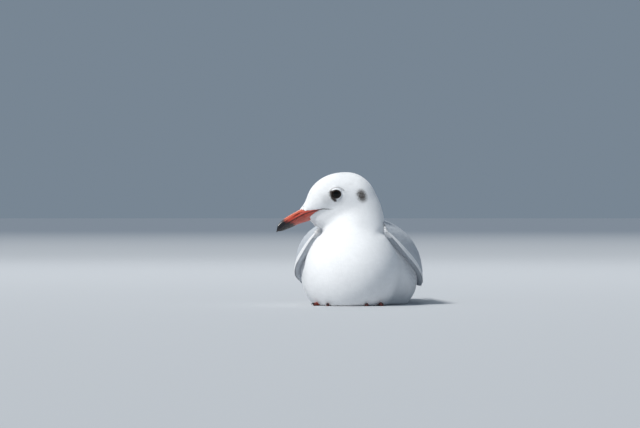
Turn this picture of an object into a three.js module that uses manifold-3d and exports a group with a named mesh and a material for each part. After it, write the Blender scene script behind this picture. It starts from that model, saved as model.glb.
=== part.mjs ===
// A black-headed gull in winter plumage, sitting on its belly with its head turned to its right.
// Millimetres. +Z is up, the breast faces -Y, the tail +Y and the bird's left side is +X.
// The origin is on the floor, in the middle of the flat that the belly rests on.
// The solids reach out to the tips of the feathers.
import * as THREE from "three";
import { mergeVertices } from "three/addons/utils/BufferGeometryUtils.js";
import Module from "manifold-3d";

const wasm = await Module();
wasm.setup();

// ---------------------------------------------------------------- driving dimensions

const GAP = 0.3; // between neighbouring solids
const BLEND = 4.5; // how softly the masses of plumage run into each other
const SPARE = 9; // how far a wrapped solid reaches past the plane that trims it

// Masses of plumage, as the floor sees them: a centre and how far each one reaches from it.
const TRUNK_MASSES = [
  { name: "breast", at: [0, -51, 26], side: 36, front: 37, back: 39, up: 36, down: 38 },
  { name: "belly", at: [0, -2, 26], side: 46, front: 50, back: 88, up: 39.5, down: 42 },
  { name: "rump", at: [0, 72, 31], side: 27, front: 50, back: 52, up: 15, down: 15 },
];
const NECK_MASSES = [
  { name: "neck", at: [5.5, -40.5, 60.5], side: 18, front: 16, back: 14.5, up: 29, down: 12 },
  { name: "foreneck", at: [0, -53, 59], side: 11, front: 12, back: 15, up: 9, down: 13 },
];

// The skull's middle, where the head points and how far the bill dips.
const SKULL = { at: [-7.2, -48, 86], heading: 213, dip: 25 };
// Masses of plumage on the head, in its own frame: x to the bill's tip, y to the left, z up.
const HEAD_MASSES = [
  { name: "crown", at: [9, 0, 5.1], side: 11.3, front: 17.3, back: 18.7, up: 11.9, down: 9 },
  { name: "face", at: [16.2, 0, 0.9], side: 5.2, front: 23.8, back: 15.8, up: 5.1, down: 4.5 },
  { name: "cheeks", at: [-8.4, 0, -2.6], side: 13.7, front: 18.3, back: 11.7, up: 12.2, down: 14.2 },
  { name: "throat", at: [6.1, 0, -10.8], side: 8.4, front: 23.8, back: 14.3, up: 4.5, down: 4.8 },
];

// Bill, in the head's frame. Each list is [place along the bill, value].
const BILL = {
  gape: 22, // where the mouth's corners lie, under the feathers
  tip: 63,
  tipHeight: -3.2,
  arch: 2.4, // rise of the mouth's line between its corner and the tip
  overbite: 1.5,
  halfWidth: [[22, 3.6], [30, 4.2], [36, 4.4], [46, 3.3], [56, 2.1], [63, 0.5]],
  culmen: [[22, 3.4], [36, 3.9], [50, 3.5], [56, 2.4], [60.5, 0.3], [63, -2.5]],
  keel: [[22, -7.6], [36, -6.7], [44, -5.4], [50, -5.3], [57, -4.6], [61.5, -3.9]],
};
const EYE = { at: [10, 8.5, 4.4], radius: 6.4 };

// Where the plumage is parted.
const HEAD_CUT = -17.2; // height in the head's frame
const NECK_CUT = { through: [0, -45, 56], lean: 20 };
const BREAST_CUT = { through: [0, -20, 66], lean: -110 };
const RUMP_CUT = { through: [0, 66, 0], lean: -90 };
const COVERTS_CUT = { through: [0, 62, 35], lean: -62 }; // ends of the coverts
const TERTIALS_CUT = { through: [0, 62, 26], lean: 14 }; // tertials above, primaries below

// A folded wing is an arched shell. Each list is [place along Y, value].
const WING = {
  wrist: -47,
  tip: 215,
  halfWidth: [[-47, 27], [-43, 33], [-36, 40], [-24, 47], [-8, 49.5], [25, 46], [45, 42.5], [85, 37],
    [125, 28.5], [165, 19.5], [200, 11], [215, 6]],
  lowerEdge: [[-47, 57], [-43, 50.5], [-36, 41.5], [-24, 31], [-8, 22], [20, 15], [60, 14], [100, 19],
    [140, 25], [180, 29], [215, 31]],
  ridge: [[-47, 65], [-34, 67], [-20, 67.5], [20, 66.5], [60, 61], [100, 51], [140, 44], [180, 40],
    [215, 36]],
  upperAngle: [[-47, 40], [-30, 48], [0, 62], [40, 80], [70, 88], [215, 88]],
  thickness: [[-47, 2.5], [-36, 4.5], [-20, 5], [40, 5], [90, 3.4], [150, 2.6], [215, 1.4]],
  roundness: 2.3,
  thinEdge: 0.55, // how much of the thickness is lost at both edges
};

// Tail, as one folded fan.
const TAIL = {
  root: 60,
  tip: 177,
  rootWidth: 30,
  tipWidth: 44,
  rootHeight: 29,
  tipHeight: 24,
  arch: 4,
  thick: 3,
};

// Legs, folded under the belly with the feet flat.
const LEG = { apart: 13, heel: 7, toes: -38, radius: 2.3, height: 2.6, heelRadius: 3.2, heelHeight: 2.4 };
const TOES = [
  { name: "inner", length: 31, angle: -18 },
  { name: "middle", length: 39, angle: 3 },
  { name: "outer", length: 35, angle: 23 },
];
const TOE = { radius: 1.7, height: 1, knuckle: 2, webReach: 0.9, webThick: 1.2, webDip: 5 };

const LOOK = {
  white: { color: 0xf1f1ee, roughness: 0.85 },
  grey: { color: 0xb4bac1, roughness: 0.85 },
  pale: { color: 0xd9dcdf, roughness: 0.85 },
  black: { color: 0x2a292c, roughness: 0.7 },
  bill: { color: 0xb23a26, roughness: 0.4 },
  leg: { color: 0x9c2a22, roughness: 0.5 },
  eye: { color: 0x140f0e, roughness: 0.08 },
};

const SIDES = [["left", 1], ["right", -1]];

// ---------------------------------------------------------------- tools

const degrees = THREE.MathUtils.degToRad;
const lerp = THREE.MathUtils.lerp;
const vector = (list) => new THREE.Vector3(...list);

// A smooth curve through [place, value] points, as a function of place. It runs on straight before the first.
function curve(points) {
  const slopes = points.map((_, i) => {
    const [x0, y0] = points[Math.max(i - 1, 0)];
    const [x1, y1] = points[Math.min(i + 1, points.length - 1)];
    return (y1 - y0) / (x1 - x0);
  });
  return (x) => {
    if (x <= points[0][0]) return points[0][1] + slopes[0] * (x - points[0][0]);
    const i = points.findIndex(([place]) => place >= x) - 1;
    if (i < 0) return points[points.length - 1][1];
    const [x0, y0] = points[i];
    const [x1, y1] = points[i + 1];
    const t = (x - x0) / (x1 - x0);
    const startBend = slopes[i] * (x1 - x0) - (y1 - y0);
    const endBend = slopes[i + 1] * (x1 - x0) - (y1 - y0);
    return y0 + (y1 - y0) * t + t * (1 - t) * ((1 - t) * startBend - t * endBend);
  };
}

// The same sizes, with every list of points made into a curve.
function curved(sizes) {
  const entries = Object.entries(sizes).map(([key, size]) => [key, Array.isArray(size) ? curve(size) : size]);
  return Object.fromEntries(entries);
}

// Moves every vertex of a geometry to where place(x, y, z) says, and keeps its faces.
function mould(geometry, place) {
  geometry.deleteAttribute("normal");
  geometry.deleteAttribute("uv");
  const p = geometry.getAttribute("position");
  for (let i = 0; i < p.count; i++) p.setXYZ(i, ...place(p.getX(i), p.getY(i), p.getZ(i)));
  return geometry;
}

// A closed geometry as a solid for cutting and joining, its faces turned outward.
function solid(geometry, matrix = new THREE.Matrix4()) {
  geometry.deleteAttribute("normal");
  geometry.deleteAttribute("uv");
  const merged = mergeVertices(geometry.applyMatrix4(matrix), 1e-4);
  const triVerts = new Uint32Array(merged.index.array);
  const vertProperties = merged.getAttribute("position").array;
  const make = () => new wasm.Manifold(new wasm.Mesh({ numProp: 3, vertProperties, triVerts }));
  const made = make();
  if (made.volume() > 0) return made;
  for (let i = 0; i < triVerts.length; i += 3) triVerts.subarray(i, i + 2).reverse();
  return make();
}

function geometryOf(manifold) {
  const m = manifold.getMesh();
  const position = new Float32Array(m.numVert * 3);
  for (let i = 0; i < m.numVert; i++) {
    position.set(m.vertProperties.subarray(i * m.numProp, i * m.numProp + 3), i * 3);
  }
  const g = new THREE.BufferGeometry();
  g.setAttribute("position", new THREE.BufferAttribute(position, 3));
  g.setIndex(new THREE.BufferAttribute(new Uint32Array(m.triVerts), 1));
  g.computeVertexNormals();
  return g;
}

function node(name, manifold, look) {
  const mesh = new THREE.Mesh(geometryOf(manifold), new THREE.MeshStandardMaterial(look));
  mesh.name = name;
  return mesh;
}

// A parting plane, whose normal is tipped from straight up towards the breast by lean.
function parting({ through, lean }) {
  const normal = new THREE.Vector3(0, -Math.sin(degrees(lean)), Math.cos(degrees(lean)));
  return { normal, height: normal.dot(vector(through)) };
}

const over = (plane, point) => plane.normal.dot(point) - plane.height;
const above = (manifold, { normal, height }) => manifold.trimByPlane(normal.toArray(), height + GAP);
const below = (manifold, { normal, height }) =>
  manifold.trimByPlane(normal.clone().negate().toArray(), -height);

// ---------------------------------------------------------------- outline of the plumage

// The head's frame, as a matrix that takes its points to the floor's frame.
function headMatrix() {
  const heading = degrees(SKULL.heading);
  const dip = degrees(SKULL.dip);
  const level = new THREE.Vector3(Math.cos(heading), Math.sin(heading), 0);
  const forward = level.clone().multiplyScalar(Math.cos(dip)).setZ(-Math.sin(dip));
  const left = new THREE.Vector3(0, 0, 1).cross(level);
  const up = forward.clone().cross(left);
  return new THREE.Matrix4().makeBasis(forward, left, up).setPosition(...SKULL.at);
}

const headFrame = headMatrix();
const toHead = headFrame.clone().invert();
const headUp = new THREE.Vector3(0, 0, 1).transformDirection(headFrame);
const headPlane = { normal: headUp, height: headUp.dot(vector([0, 0, HEAD_CUT]).applyMatrix4(headFrame)) };
const neckPlane = parting(NECK_CUT);
const breastPlane = parting(BREAST_CUT);
const rumpPlane = parting(RUMP_CUT);

// About how far a point lies outside one mass. ahead is how far in front of its centre the point is.
function outside(mass, ahead, aside, high) {
  const along = ahead > 0 ? mass.front : mass.back;
  const tall = high > 0 ? mass.up : mass.down;
  const share = Math.hypot(ahead / along, aside / mass.side, high / tall);
  const steepness = Math.hypot(ahead / along ** 2, aside / mass.side ** 2, high / tall ** 2);
  return steepness < 1e-9 ? -mass.side : (share * (share - 1)) / steepness;
}

// Below zero inside the plumage and above zero outside it.
function plumage(point) {
  const head = point.clone().applyMatrix4(toHead);
  let sum = 0;
  for (const mass of [...TRUNK_MASSES, ...NECK_MASSES]) {
    const [x, y, z] = mass.at;
    sum += Math.exp(-outside(mass, y - point.y, point.x - x, point.z - z) / BLEND);
  }
  for (const mass of HEAD_MASSES) {
    const [x, y, z] = mass.at;
    sum += Math.exp(-outside(mass, head.x - x, head.y - y, head.z - z) / BLEND);
  }
  return -BLEND * Math.log(sum);
}

// A ball's vertices moved out from its centre to where inside(point) stops being below zero.
function wrapped(centre, stretch, detail, inside) {
  const step = 1.5;
  const halvings = 12;
  return mould(new THREE.IcosahedronGeometry(1, detail), (x, y, z) => {
    const ray = new THREE.Vector3(x * stretch[0], y * stretch[1], z * stretch[2]).normalize();
    const at = (reach) => ray.clone().multiplyScalar(reach).add(vector(centre));
    let near = 0;
    while (inside(at(near + step)) < 0) near += step;
    let far = near + step;
    for (let i = 0; i < halvings; i++) {
      const middle = (near + far) / 2;
      if (inside(at(middle)) < 0) near = middle;
      else far = middle;
    }
    return at(near).toArray();
  });
}

// ---------------------------------------------------------------- head

const bill = curved(BILL);

function mouthLine(along) {
  const share = THREE.MathUtils.clamp((along - BILL.gape) / (BILL.tip - BILL.gape), 0, 1);
  return BILL.tipHeight + BILL.arch * Math.sin(Math.PI * share);
}

// One mandible: a cylinder whose section lies between the mouth's line and its outer edge, grown by grow.
function mandible(outerEdge, end, grow) {
  const rod = new THREE.CylinderGeometry(1, 1, 1, 10, 9);
  const shape = mould(rod, (x, y, z) => {
    const share = 1 - (0.5 - y) ** 1.35;
    const along = lerp(BILL.gape - grow, end + grow, share);
    const middle = mouthLine(along);
    const outer = outerEdge(Math.min(along, end));
    const upward = Math.sign(outer - middle);
    const reach = upward * z > 0 ? Math.abs(outer - middle) - GAP / 2 + grow : -grow;
    return [along, x * (bill.halfWidth(along) + grow), middle + upward * (GAP / 2 + Math.abs(z) * reach)];
  });
  return solid(shape, headFrame);
}

const upperMandible = (grow) => mandible(bill.culmen, BILL.tip, grow);
const lowerMandible = (grow) => mandible(bill.keel, BILL.tip - BILL.overbite, grow);

function eyeball(sign, grow) {
  const [x, y, z] = EYE.at;
  const place = headFrame.clone().multiply(new THREE.Matrix4().setPosition(x, sign * y, z));
  return solid(new THREE.SphereGeometry(EYE.radius + grow, 14, 9), place);
}

function makeHead() {
  const inside = (p) => Math.max(plumage(p), -over(headPlane, p) - SPARE);
  const middle = vector([2, 0, -4]).applyMatrix4(headFrame).toArray();
  let head = above(solid(wrapped(middle, [1, 1, 1], 7, inside)), headPlane);
  head = head.subtract(upperMandible(GAP)).subtract(lowerMandible(GAP));
  for (const [, sign] of SIDES) {
    head = head.subtract(eyeball(sign, GAP)).subtract(wingShell(sign, GAP));
  }
  return head;
}

// ---------------------------------------------------------------- wings and tail

const wing = curved(WING);

// A folded wing as one arched shell, grown all round by grow and on its outside by outward.
function wingShell(sign, grow = 0, outward = grow) {
  const power = 2 / WING.roundness;
  const bend = (value) => Math.sign(value) * Math.abs(value) ** power;
  const sheet = mould(new THREE.BoxGeometry(1, 1, 1, 22, 6, 1), (u, v, w) => {
    const y = lerp(WING.wrist - grow, WING.tip + grow, u + 0.5);
    const rise = wing.ridge(y) - wing.lowerEdge(y);
    const spread = grow / wing.halfWidth(y);
    const angle = lerp(-spread, degrees(wing.upperAngle(y)) + spread, v + 0.5);
    const across = bend(Math.cos(angle));
    const high = bend(Math.sin(angle));
    const normal = new THREE.Vector2(across / wing.halfWidth(y), high / rise).normalize();
    const thickness = wing.thickness(y) * (1 - WING.thinEdge * Math.abs(2 * v) ** 3);
    const depth = w > 0 ? -outward : thickness + grow;
    return [
      sign * (wing.halfWidth(y) * across - depth * normal.x),
      y,
      wing.lowerEdge(y) + rise * high - depth * normal.y,
    ];
  });
  return solid(sheet);
}

function makeTail(grow) {
  const fan = mould(new THREE.BoxGeometry(1, 1, 1, 6, 3, 1), (x, y, z) => {
    const along = y + 0.5;
    const width = lerp(TAIL.rootWidth, TAIL.tipWidth, along) + 2 * grow;
    const drop = TAIL.arch * (2 * x) ** 2 * along;
    const thick = TAIL.thick * (1 - 0.5 * along) + 2 * grow;
    const height = lerp(TAIL.rootHeight, TAIL.tipHeight, along) - drop + z * thick;
    return [x * width, lerp(TAIL.root - grow, TAIL.tip, along), height];
  });
  return solid(fan);
}

// ---------------------------------------------------------------- legs

// A rod with round ends between two points.
function rod(from, to, radius) {
  const span = vector(to).sub(vector(from));
  const middle = vector(from).addScaledVector(span, 0.5);
  const turn = new THREE.Quaternion().setFromUnitVectors(
    new THREE.Vector3(0, 1, 0),
    span.clone().normalize(),
  );
  const place = new THREE.Matrix4().compose(middle, turn, new THREE.Vector3(1, 1, 1));
  return solid(new THREE.CapsuleGeometry(radius, span.length(), 2, 6), place);
}

function makeLeg(sign, grow) {
  const x = sign * LEG.apart;
  const shank = rod([x, LEG.heel, LEG.height], [x, LEG.toes, LEG.height], LEG.radius + grow);
  const heel = rod([x, LEG.heel, LEG.heelHeight], [x, LEG.heel - 4, LEG.heelHeight], LEG.heelRadius + grow);
  return shank.add(heel).trimByPlane([0, 0, 1], -grow);
}

function makeWeb(root, tips, grow) {
  const web = new THREE.Shape();
  web.moveTo(root[0], root[1]);
  let last = null;
  for (const tip of tips) {
    const x = lerp(root[0], tip[0], TOE.webReach);
    const y = lerp(root[1], tip[1], TOE.webReach);
    if (last) web.quadraticCurveTo((x + last[0]) / 2, (y + last[1]) / 2 + TOE.webDip, x, y);
    else web.lineTo(x, y);
    last = [x, y];
  }
  web.closePath();
  const plate = { depth: TOE.webThick + 2 * grow, bevelEnabled: false, curveSegments: 3 };
  return solid(new THREE.ExtrudeGeometry(web, plate), new THREE.Matrix4().setPosition(0, 0, -grow));
}

function makeFoot(sign, grow) {
  const root = [sign * LEG.apart, LEG.toes, LEG.height];
  const tips = TOES.map(({ length, angle }) => [
    root[0] + sign * length * Math.sin(degrees(angle)),
    root[1] - length * Math.cos(degrees(angle)),
    TOE.height,
  ]);
  const knuckle = rod(root, [root[0], root[1] - TOE.knuckle, root[2]], LEG.radius + 0.5 + grow);
  let foot = makeWeb(root, tips, grow).add(knuckle);
  for (const tip of tips) foot = foot.add(rod(root, tip, TOE.radius + grow));
  return foot.trimByPlane([0, 0, 1], -grow);
}

// ---------------------------------------------------------------- neck, breast and trunk

// A body less the room that the wings, tail, legs and feet take up.
function makeRoom(body) {
  const farOutside = 30;
  let rest = body.trimByPlane([0, 0, 1], 0).subtract(makeTail(GAP));
  for (const [, sign] of SIDES) {
    rest = rest.subtract(wingShell(sign, GAP, farOutside));
    rest = rest.subtract(makeLeg(sign, GAP)).subtract(makeFoot(sign, GAP));
  }
  return rest;
}

function makeNeckAndBreast() {
  const inside = (p) => Math.max(plumage(p), over(headPlane, p) - SPARE, over(breastPlane, p) - SPARE);
  const whole = solid(wrapped([0, -46, 45], [1, 1, 1], 7, inside));
  return makeRoom(below(below(whole, headPlane), breastPlane));
}

function makeTrunk() {
  const inside = (p) => Math.max(plumage(p), over(neckPlane, p) - SPARE, -over(breastPlane, p) - SPARE);
  return makeRoom(above(solid(wrapped([0, 5, 32], [1, 2, 0.9], 7, inside)), breastPlane));
}

// ---------------------------------------------------------------- the whole bird

const bird = new THREE.Group();
const front = makeNeckAndBreast();
const trunk = makeTrunk();
bird.add(node("head", makeHead(), LOOK.white));
bird.add(node("bill_upper", upperMandible(0), LOOK.bill));
bird.add(node("bill_lower", lowerMandible(0), LOOK.bill));
bird.add(node("neck", above(front, neckPlane), LOOK.white));
bird.add(node("breast", below(front, neckPlane), LOOK.white));
bird.add(node("trunk", below(trunk, rumpPlane), LOOK.grey));
bird.add(node("rump", above(trunk, rumpPlane), LOOK.white));
bird.add(node("tail", makeTail(0), LOOK.white));
for (const [side, sign] of SIDES) {
  const shell = wingShell(sign);
  const behind = above(shell, parting(COVERTS_CUT));
  bird.add(node("eye_" + side, eyeball(sign, 0), LOOK.eye));
  bird.add(node("wing_" + side + "_coverts", below(shell, parting(COVERTS_CUT)), LOOK.grey));
  bird.add(node("wing_" + side + "_tertials", above(behind, parting(TERTIALS_CUT)), LOOK.pale));
  bird.add(node("wing_" + side + "_primaries", below(behind, parting(TERTIALS_CUT)), LOOK.black));
  bird.add(node("leg_" + side, makeLeg(sign, 0).subtract(makeFoot(sign, GAP)), LOOK.leg));
  bird.add(node("foot_" + side, makeFoot(sign, 0), LOOK.leg));
}

export default bird;
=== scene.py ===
"""A black-headed gull in winter plumage, sitting on its belly with its head turned to its right.

Sizes in this script are millimetres, and Blender's are metres. +Z is up, the breast faces -Y, the tail +Y,
the bird's left side is +X, and the origin is on the floor under the belly.

The outside of the plumage is a blend of soft masses. One skin lies inside it by the depth of the feathers.
Each feather grows from that skin, follows the lie of the plumage and ends at its outside.
"""
import math

import bpy
import numpy as np
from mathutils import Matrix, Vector


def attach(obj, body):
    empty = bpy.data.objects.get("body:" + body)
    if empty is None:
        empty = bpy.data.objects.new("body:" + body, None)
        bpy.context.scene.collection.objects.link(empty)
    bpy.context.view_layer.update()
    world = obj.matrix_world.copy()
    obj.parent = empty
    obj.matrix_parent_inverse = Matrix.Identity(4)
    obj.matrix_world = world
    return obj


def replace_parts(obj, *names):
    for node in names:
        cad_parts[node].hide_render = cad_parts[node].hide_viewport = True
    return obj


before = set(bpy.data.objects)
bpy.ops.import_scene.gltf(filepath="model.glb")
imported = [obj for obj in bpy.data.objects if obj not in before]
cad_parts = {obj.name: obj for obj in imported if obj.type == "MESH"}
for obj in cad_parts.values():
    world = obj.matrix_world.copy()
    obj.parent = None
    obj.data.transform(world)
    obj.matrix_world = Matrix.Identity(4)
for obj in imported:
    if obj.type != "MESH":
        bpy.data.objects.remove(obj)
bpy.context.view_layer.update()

MM = 0.001

# ---------------------------------------------------------------- driving sizes

BLEND = 4.5  # how softly the masses of plumage run into each other


def mass(at, side, front, back, up, down):
    """A soft mass of plumage: its centre, and how far it reaches from there."""
    return {"at": at, "side": side, "front": front, "back": back, "up": up, "down": down}


TRUNK_MASSES = [
    mass((0, -51, 26), side=36, front=37, back=39, up=36, down=38),  # breast
    mass((0, -2, 26), side=46, front=50, back=88, up=39.5, down=42),  # belly and back
    mass((0, 72, 31), side=27, front=50, back=52, up=15, down=15),  # rump
    mass((5.5, -40.5, 60.5), side=18, front=16, back=14.5, up=29, down=12),  # neck
    mass((0, -53, 59), side=11, front=12, back=15, up=9, down=13),  # foreneck
]
HEAD_MASSES = [
    mass((9, 0, 5.1), side=11.3, front=17.3, back=18.7, up=11.9, down=9),  # crown
    mass((16.2, 0, 0.9), side=5.2, front=23.8, back=15.8, up=5.1, down=4.5),  # face
    mass((-8.4, 0, -2.6), side=13.7, front=18.3, back=11.7, up=12.2, down=14.2),  # cheeks
    mass((6.1, 0, -10.8), side=8.4, front=23.8, back=14.3, up=4.5, down=4.8),  # throat
]

# The head's own frame: x to the bill's tip, y to the left, z up.
SKULL = np.array((-7.2, -48, 86.0))
HEADING = math.radians(213)
DIP = math.radians(25)

EYE = np.array((10, 8.5, 4.4))  # of the left eye, in the head's frame
EYE_RADIUS = 6.4
EYE_OPENING = (3.85, 3.0)  # half its length and half its height
EYE_LEAN = 22  # how far its front corner points down, in degrees
EAR_SPOT = np.array((-7.0, 16.3, -5.2))

NAPE = -20  # along Y, where the white neck meets the grey mantle

# How deep the feathers are over the skin of the body, of the head and of the wings.
BODY_COAT = 0.95
HEAD_COAT = 0.55
FACE_THINNER = 0.15  # how much of the head's depth is gone at the bill
WING_COAT = 1.4

# Places along Y, and the folded wings' shape.
WING_WRIST = -47
WING_TIP = 215
WING_FLESH_END = 74
WING_ROUNDNESS = 2.3
WING_RIM = 2.4  # how thick a folded wing is along its lower edge
TAIL_ROOT = 60
TAIL_TIP = 176

# ---------------------------------------------------------------- curves and frames


def curve(*points):
    """A smooth curve through (place, value) points, as a function of place."""
    places, values = np.array(points, float).T
    before = np.maximum(np.arange(len(places)) - 1, 0)
    after = np.minimum(np.arange(len(places)) + 1, len(places) - 1)
    slopes = (values[after] - values[before]) / (places[after] - places[before])

    def at(place):
        x = np.clip(place, places[0], places[-1])
        i = np.clip(np.searchsorted(places, x, side="right") - 1, 0, len(places) - 2)
        span = places[i + 1] - places[i]
        rise = values[i + 1] - values[i]
        t = (x - places[i]) / span
        start = slopes[i] * span - rise
        end = slopes[i + 1] * span - rise
        return values[i] + rise * t + t * (1 - t) * ((1 - t) * start - t * end)

    return at


# The folded wings, by place along Y.
wing_half_width = curve((-47, 27), (-43, 33), (-36, 40), (-24, 47), (-8, 49.5), (25, 46), (45, 42.5),
                        (85, 37), (125, 28.5), (165, 19.5), (200, 11), (215, 6))
wing_lower_edge = curve((-47, 57), (-43, 50.5), (-36, 41.5), (-24, 31), (-8, 22), (20, 15), (60, 14),
                        (100, 19), (140, 25), (180, 29), (215, 31))
wing_ridge = curve((-47, 65), (-34, 67), (-20, 67.5), (20, 66.5), (60, 61), (100, 51), (140, 44),
                   (180, 40), (215, 36))
white_edge_width = curve((-46, 0.8), (-38, 1.4), (-20, 1.3), (14, 0.6))


def step_up(value, start, end):
    """0 below start, 1 above end, and smooth between them."""
    t = np.clip((value - start) / (end - start), 0, 1)
    return t * t * (3 - 2 * t)


def unit(vectors):
    """The same directions, each of length 1."""
    return vectors / np.maximum(np.linalg.norm(vectors, axis=-1, keepdims=True), 1e-9)


def head_axes():
    """The head's forward, left and up, in the bird's frame."""
    level = np.array((math.cos(HEADING), math.sin(HEADING), 0))
    forward = level * math.cos(DIP) + np.array((0, 0, -math.sin(DIP)))
    left = np.cross((0, 0, 1), level)
    return np.stack((forward, left, np.cross(forward, left)))


HEAD_AXES = head_axes()


def to_head(points):
    """Points of the bird, in the head's frame."""
    return (points - SKULL) @ HEAD_AXES.T


def from_head(points):
    """Points in the head's frame, in the bird's."""
    return np.asarray(points, float) @ HEAD_AXES + SKULL


def on_left(head):
    """Places in the head's frame, with those of its right side mirrored to its left."""
    return np.where((False, True, False), np.abs(head), head)


# ---------------------------------------------------------------- the outside of the plumage


def outside(shape, ahead, aside, high):
    """About how far a point lies outside a mass."""
    along = np.where(ahead > 0, shape["front"], shape["back"])
    tall = np.where(high > 0, shape["up"], shape["down"])
    share = np.sqrt((ahead / along) ** 2 + (aside / shape["side"]) ** 2 + (high / tall) ** 2)
    steepness = np.sqrt((ahead / along**2) ** 2 + (aside / shape["side"] ** 2) ** 2 + (high / tall**2) ** 2)
    return share * (share - 1) / np.maximum(steepness, 1e-9)


def plumage(points):
    """Below zero inside the plumage of head and body, and above zero outside it."""
    head = to_head(points)
    total = np.zeros(len(points))
    for shape in TRUNK_MASSES:
        x, y, z = shape["at"]
        total += np.exp(-outside(shape, y - points[:, 1], points[:, 0] - x, points[:, 2] - z) / BLEND)
    for shape in HEAD_MASSES:
        x, y, z = shape["at"]
        total += np.exp(-outside(shape, head[:, 0] - x, head[:, 1] - y, head[:, 2] - z) / BLEND)
    return -BLEND * np.log(np.maximum(total, 1e-30))


def largest(values, softness):
    """The largest of several fields, rounded off where two of them meet."""
    return softness * np.log(sum(np.exp(np.clip(value / softness, -60, 60)) for value in values))


def wing_section(y):
    """A folded wing's half width, its lower edge and its height above that, at places along it."""
    low = wing_lower_edge(y)
    return wing_half_width(y), low, wing_ridge(y) - low


def wing_dome(points):
    """Below zero under the arch of the two folded wings, and above zero outside it."""
    width, low, rise = wing_section(np.clip(points[:, 1], WING_WRIST, WING_TIP))
    across = np.abs(points[:, 0]) / width
    high = np.maximum(points[:, 2] - low, 0) / rise
    share = (across**WING_ROUNDNESS + high**WING_ROUNDNESS) ** (1 / WING_ROUNDNESS)
    return (share - 1) * np.minimum(width, rise)


def edge_steepness(y):
    """How steeply a folded wing's lower edge falls at its front, and climbs further back."""
    step = 0.5
    return (wing_lower_edge(y + step) - wing_lower_edge(y - step)) / (2 * step)


def above_edge(points):
    """How far a point of a folded wing is from its lower edge."""
    y = np.clip(points[:, 1], WING_WRIST, WING_TIP)
    return (points[:, 2] - wing_lower_edge(y)) / np.sqrt(1 + edge_steepness(y) ** 2)


def folded_wings(points, depth=0.0):
    """Below zero in the flesh of the folded wings, whose outside lies further in by depth.

    The flesh is thin along the lower edge, where a wing stands off the breast, and thickens upwards.
    """
    softness = 0.35
    dome = wing_dome(points)
    above_rim = points[:, 2] - wing_lower_edge(np.clip(points[:, 1], WING_WRIST, WING_FLESH_END))
    thickness = WING_RIM + 0.9 * np.maximum(above_rim, 0)
    outer = dome + depth * (0.4 + 0.6 * step_up(above_rim, 0, 7))
    rim = 0.3 * depth - above_rim
    lining = 0.25 * depth - thickness - dome
    wrist = WING_WRIST + depth - points[:, 1]
    end = points[:, 1] - WING_FLESH_END
    return largest([outer, rim, lining, wrist, end], softness)


def from_eye(points):
    """How far the points are from the middle of the nearer eyeball."""
    return np.linalg.norm(on_left(to_head(points)) - EYE, axis=1)


def eye_mound(points, cover):
    """The bulge over the eyeballs, which stands outside them by the cover."""
    return from_eye(points) - EYE_RADIUS - cover


def eye_opening(points):
    """Below zero in the holes in the skin that the eyeballs look out of, under their lids."""
    hole = 1.15  # in eye openings
    outside_ball = EYE_RADIUS - 0.9 - from_eye(points)
    return np.maximum(outside_ball, EYE_OPENING[1] * (near_eye(points) - hole))


def near_eye(points):
    """How many eye openings away from the eye's middle the points are."""
    head = to_head(points)
    ahead = head[..., 0] - EYE[0] + 0.1
    high = head[..., 2] - EYE[2]
    lean = math.radians(EYE_LEAN)
    along = (ahead * math.cos(lean) + high * math.sin(lean)) / EYE_OPENING[0]
    across = (high * math.cos(lean) - ahead * math.sin(lean)) / EYE_OPENING[1]
    beside = np.abs(head[..., 1]) > 7
    return np.where(beside, np.sqrt(along**2 + across**2), 9)


def wing_groove(points):
    """How far the plumage sinks in under the lower edge of a folded wing."""
    reach = 3.2
    y = np.clip(points[:, 1], WING_WRIST, 60)
    beside = np.abs(points[:, 0]) - wing_half_width(y) + 3.5
    below = points[:, 2] - wing_lower_edge(y) + 1.2
    return np.exp(-(beside**2 + below**2) / reach**2)


def coat_depth(points):
    """How deep the feathers are: thin on the face, thicker on the body."""
    head = to_head(points)
    headness = step_up(head[:, 2], -26, -14)
    face = step_up(head[:, 0], -8, 34)
    return BODY_COAT + headness * (HEAD_COAT - FACE_THINNER * face - BODY_COAT)


def body_skin(points):
    """Below zero inside the skin that lies under all the feathers."""
    body = plumage(points) + coat_depth(points) + wing_groove(points)
    wings = folded_wings(points, WING_COAT)
    joined = -largest([-body, -wings], 0.6)
    joined = -largest([-joined, -eye_mound(points, 0.3)], 0.25)
    joined = np.maximum(joined, -eye_opening(points))
    above_floor = 1.2 - points[:, 2]
    return largest([joined, above_floor], 0.5)


def body_outside(points):
    """The outside of the plumage, flattened where it meets the floor."""
    body = plumage(points) + wing_groove(points)
    cover = 0.4 + 0.4 * step_up(near_eye(points), 1.4, 2.4)
    joined = -largest([-body, -eye_mound(points, cover)], 0.25)
    return largest([joined, 0.15 - points[:, 2]], 0.4)


def slope_of(field, points):
    """The field's values and their slopes."""
    step = 0.05
    shifted = [points] + [points + step * axis for axis in np.eye(3)]
    values = field(np.concatenate(shifted)).reshape(4, -1)
    return values[0], ((values[1:] - values[0]) / step).T


def distance_out(field, points):
    """How far each point is outside the field's surface, and the way out."""
    value, slope = slope_of(field, points)
    steepness = np.maximum(np.linalg.norm(slope, axis=1), 0.15)
    return value / steepness, unit(slope)


def settle(field, points, level):
    """Moves points straight in or out to where the field has the given level."""
    rounds = 2
    for _ in range(rounds):
        value, slope = slope_of(field, points)
        steep = np.maximum((slope**2).sum(1), 0.04)
        points = points - slope * ((value - level) / steep)[:, None]
    return points


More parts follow.
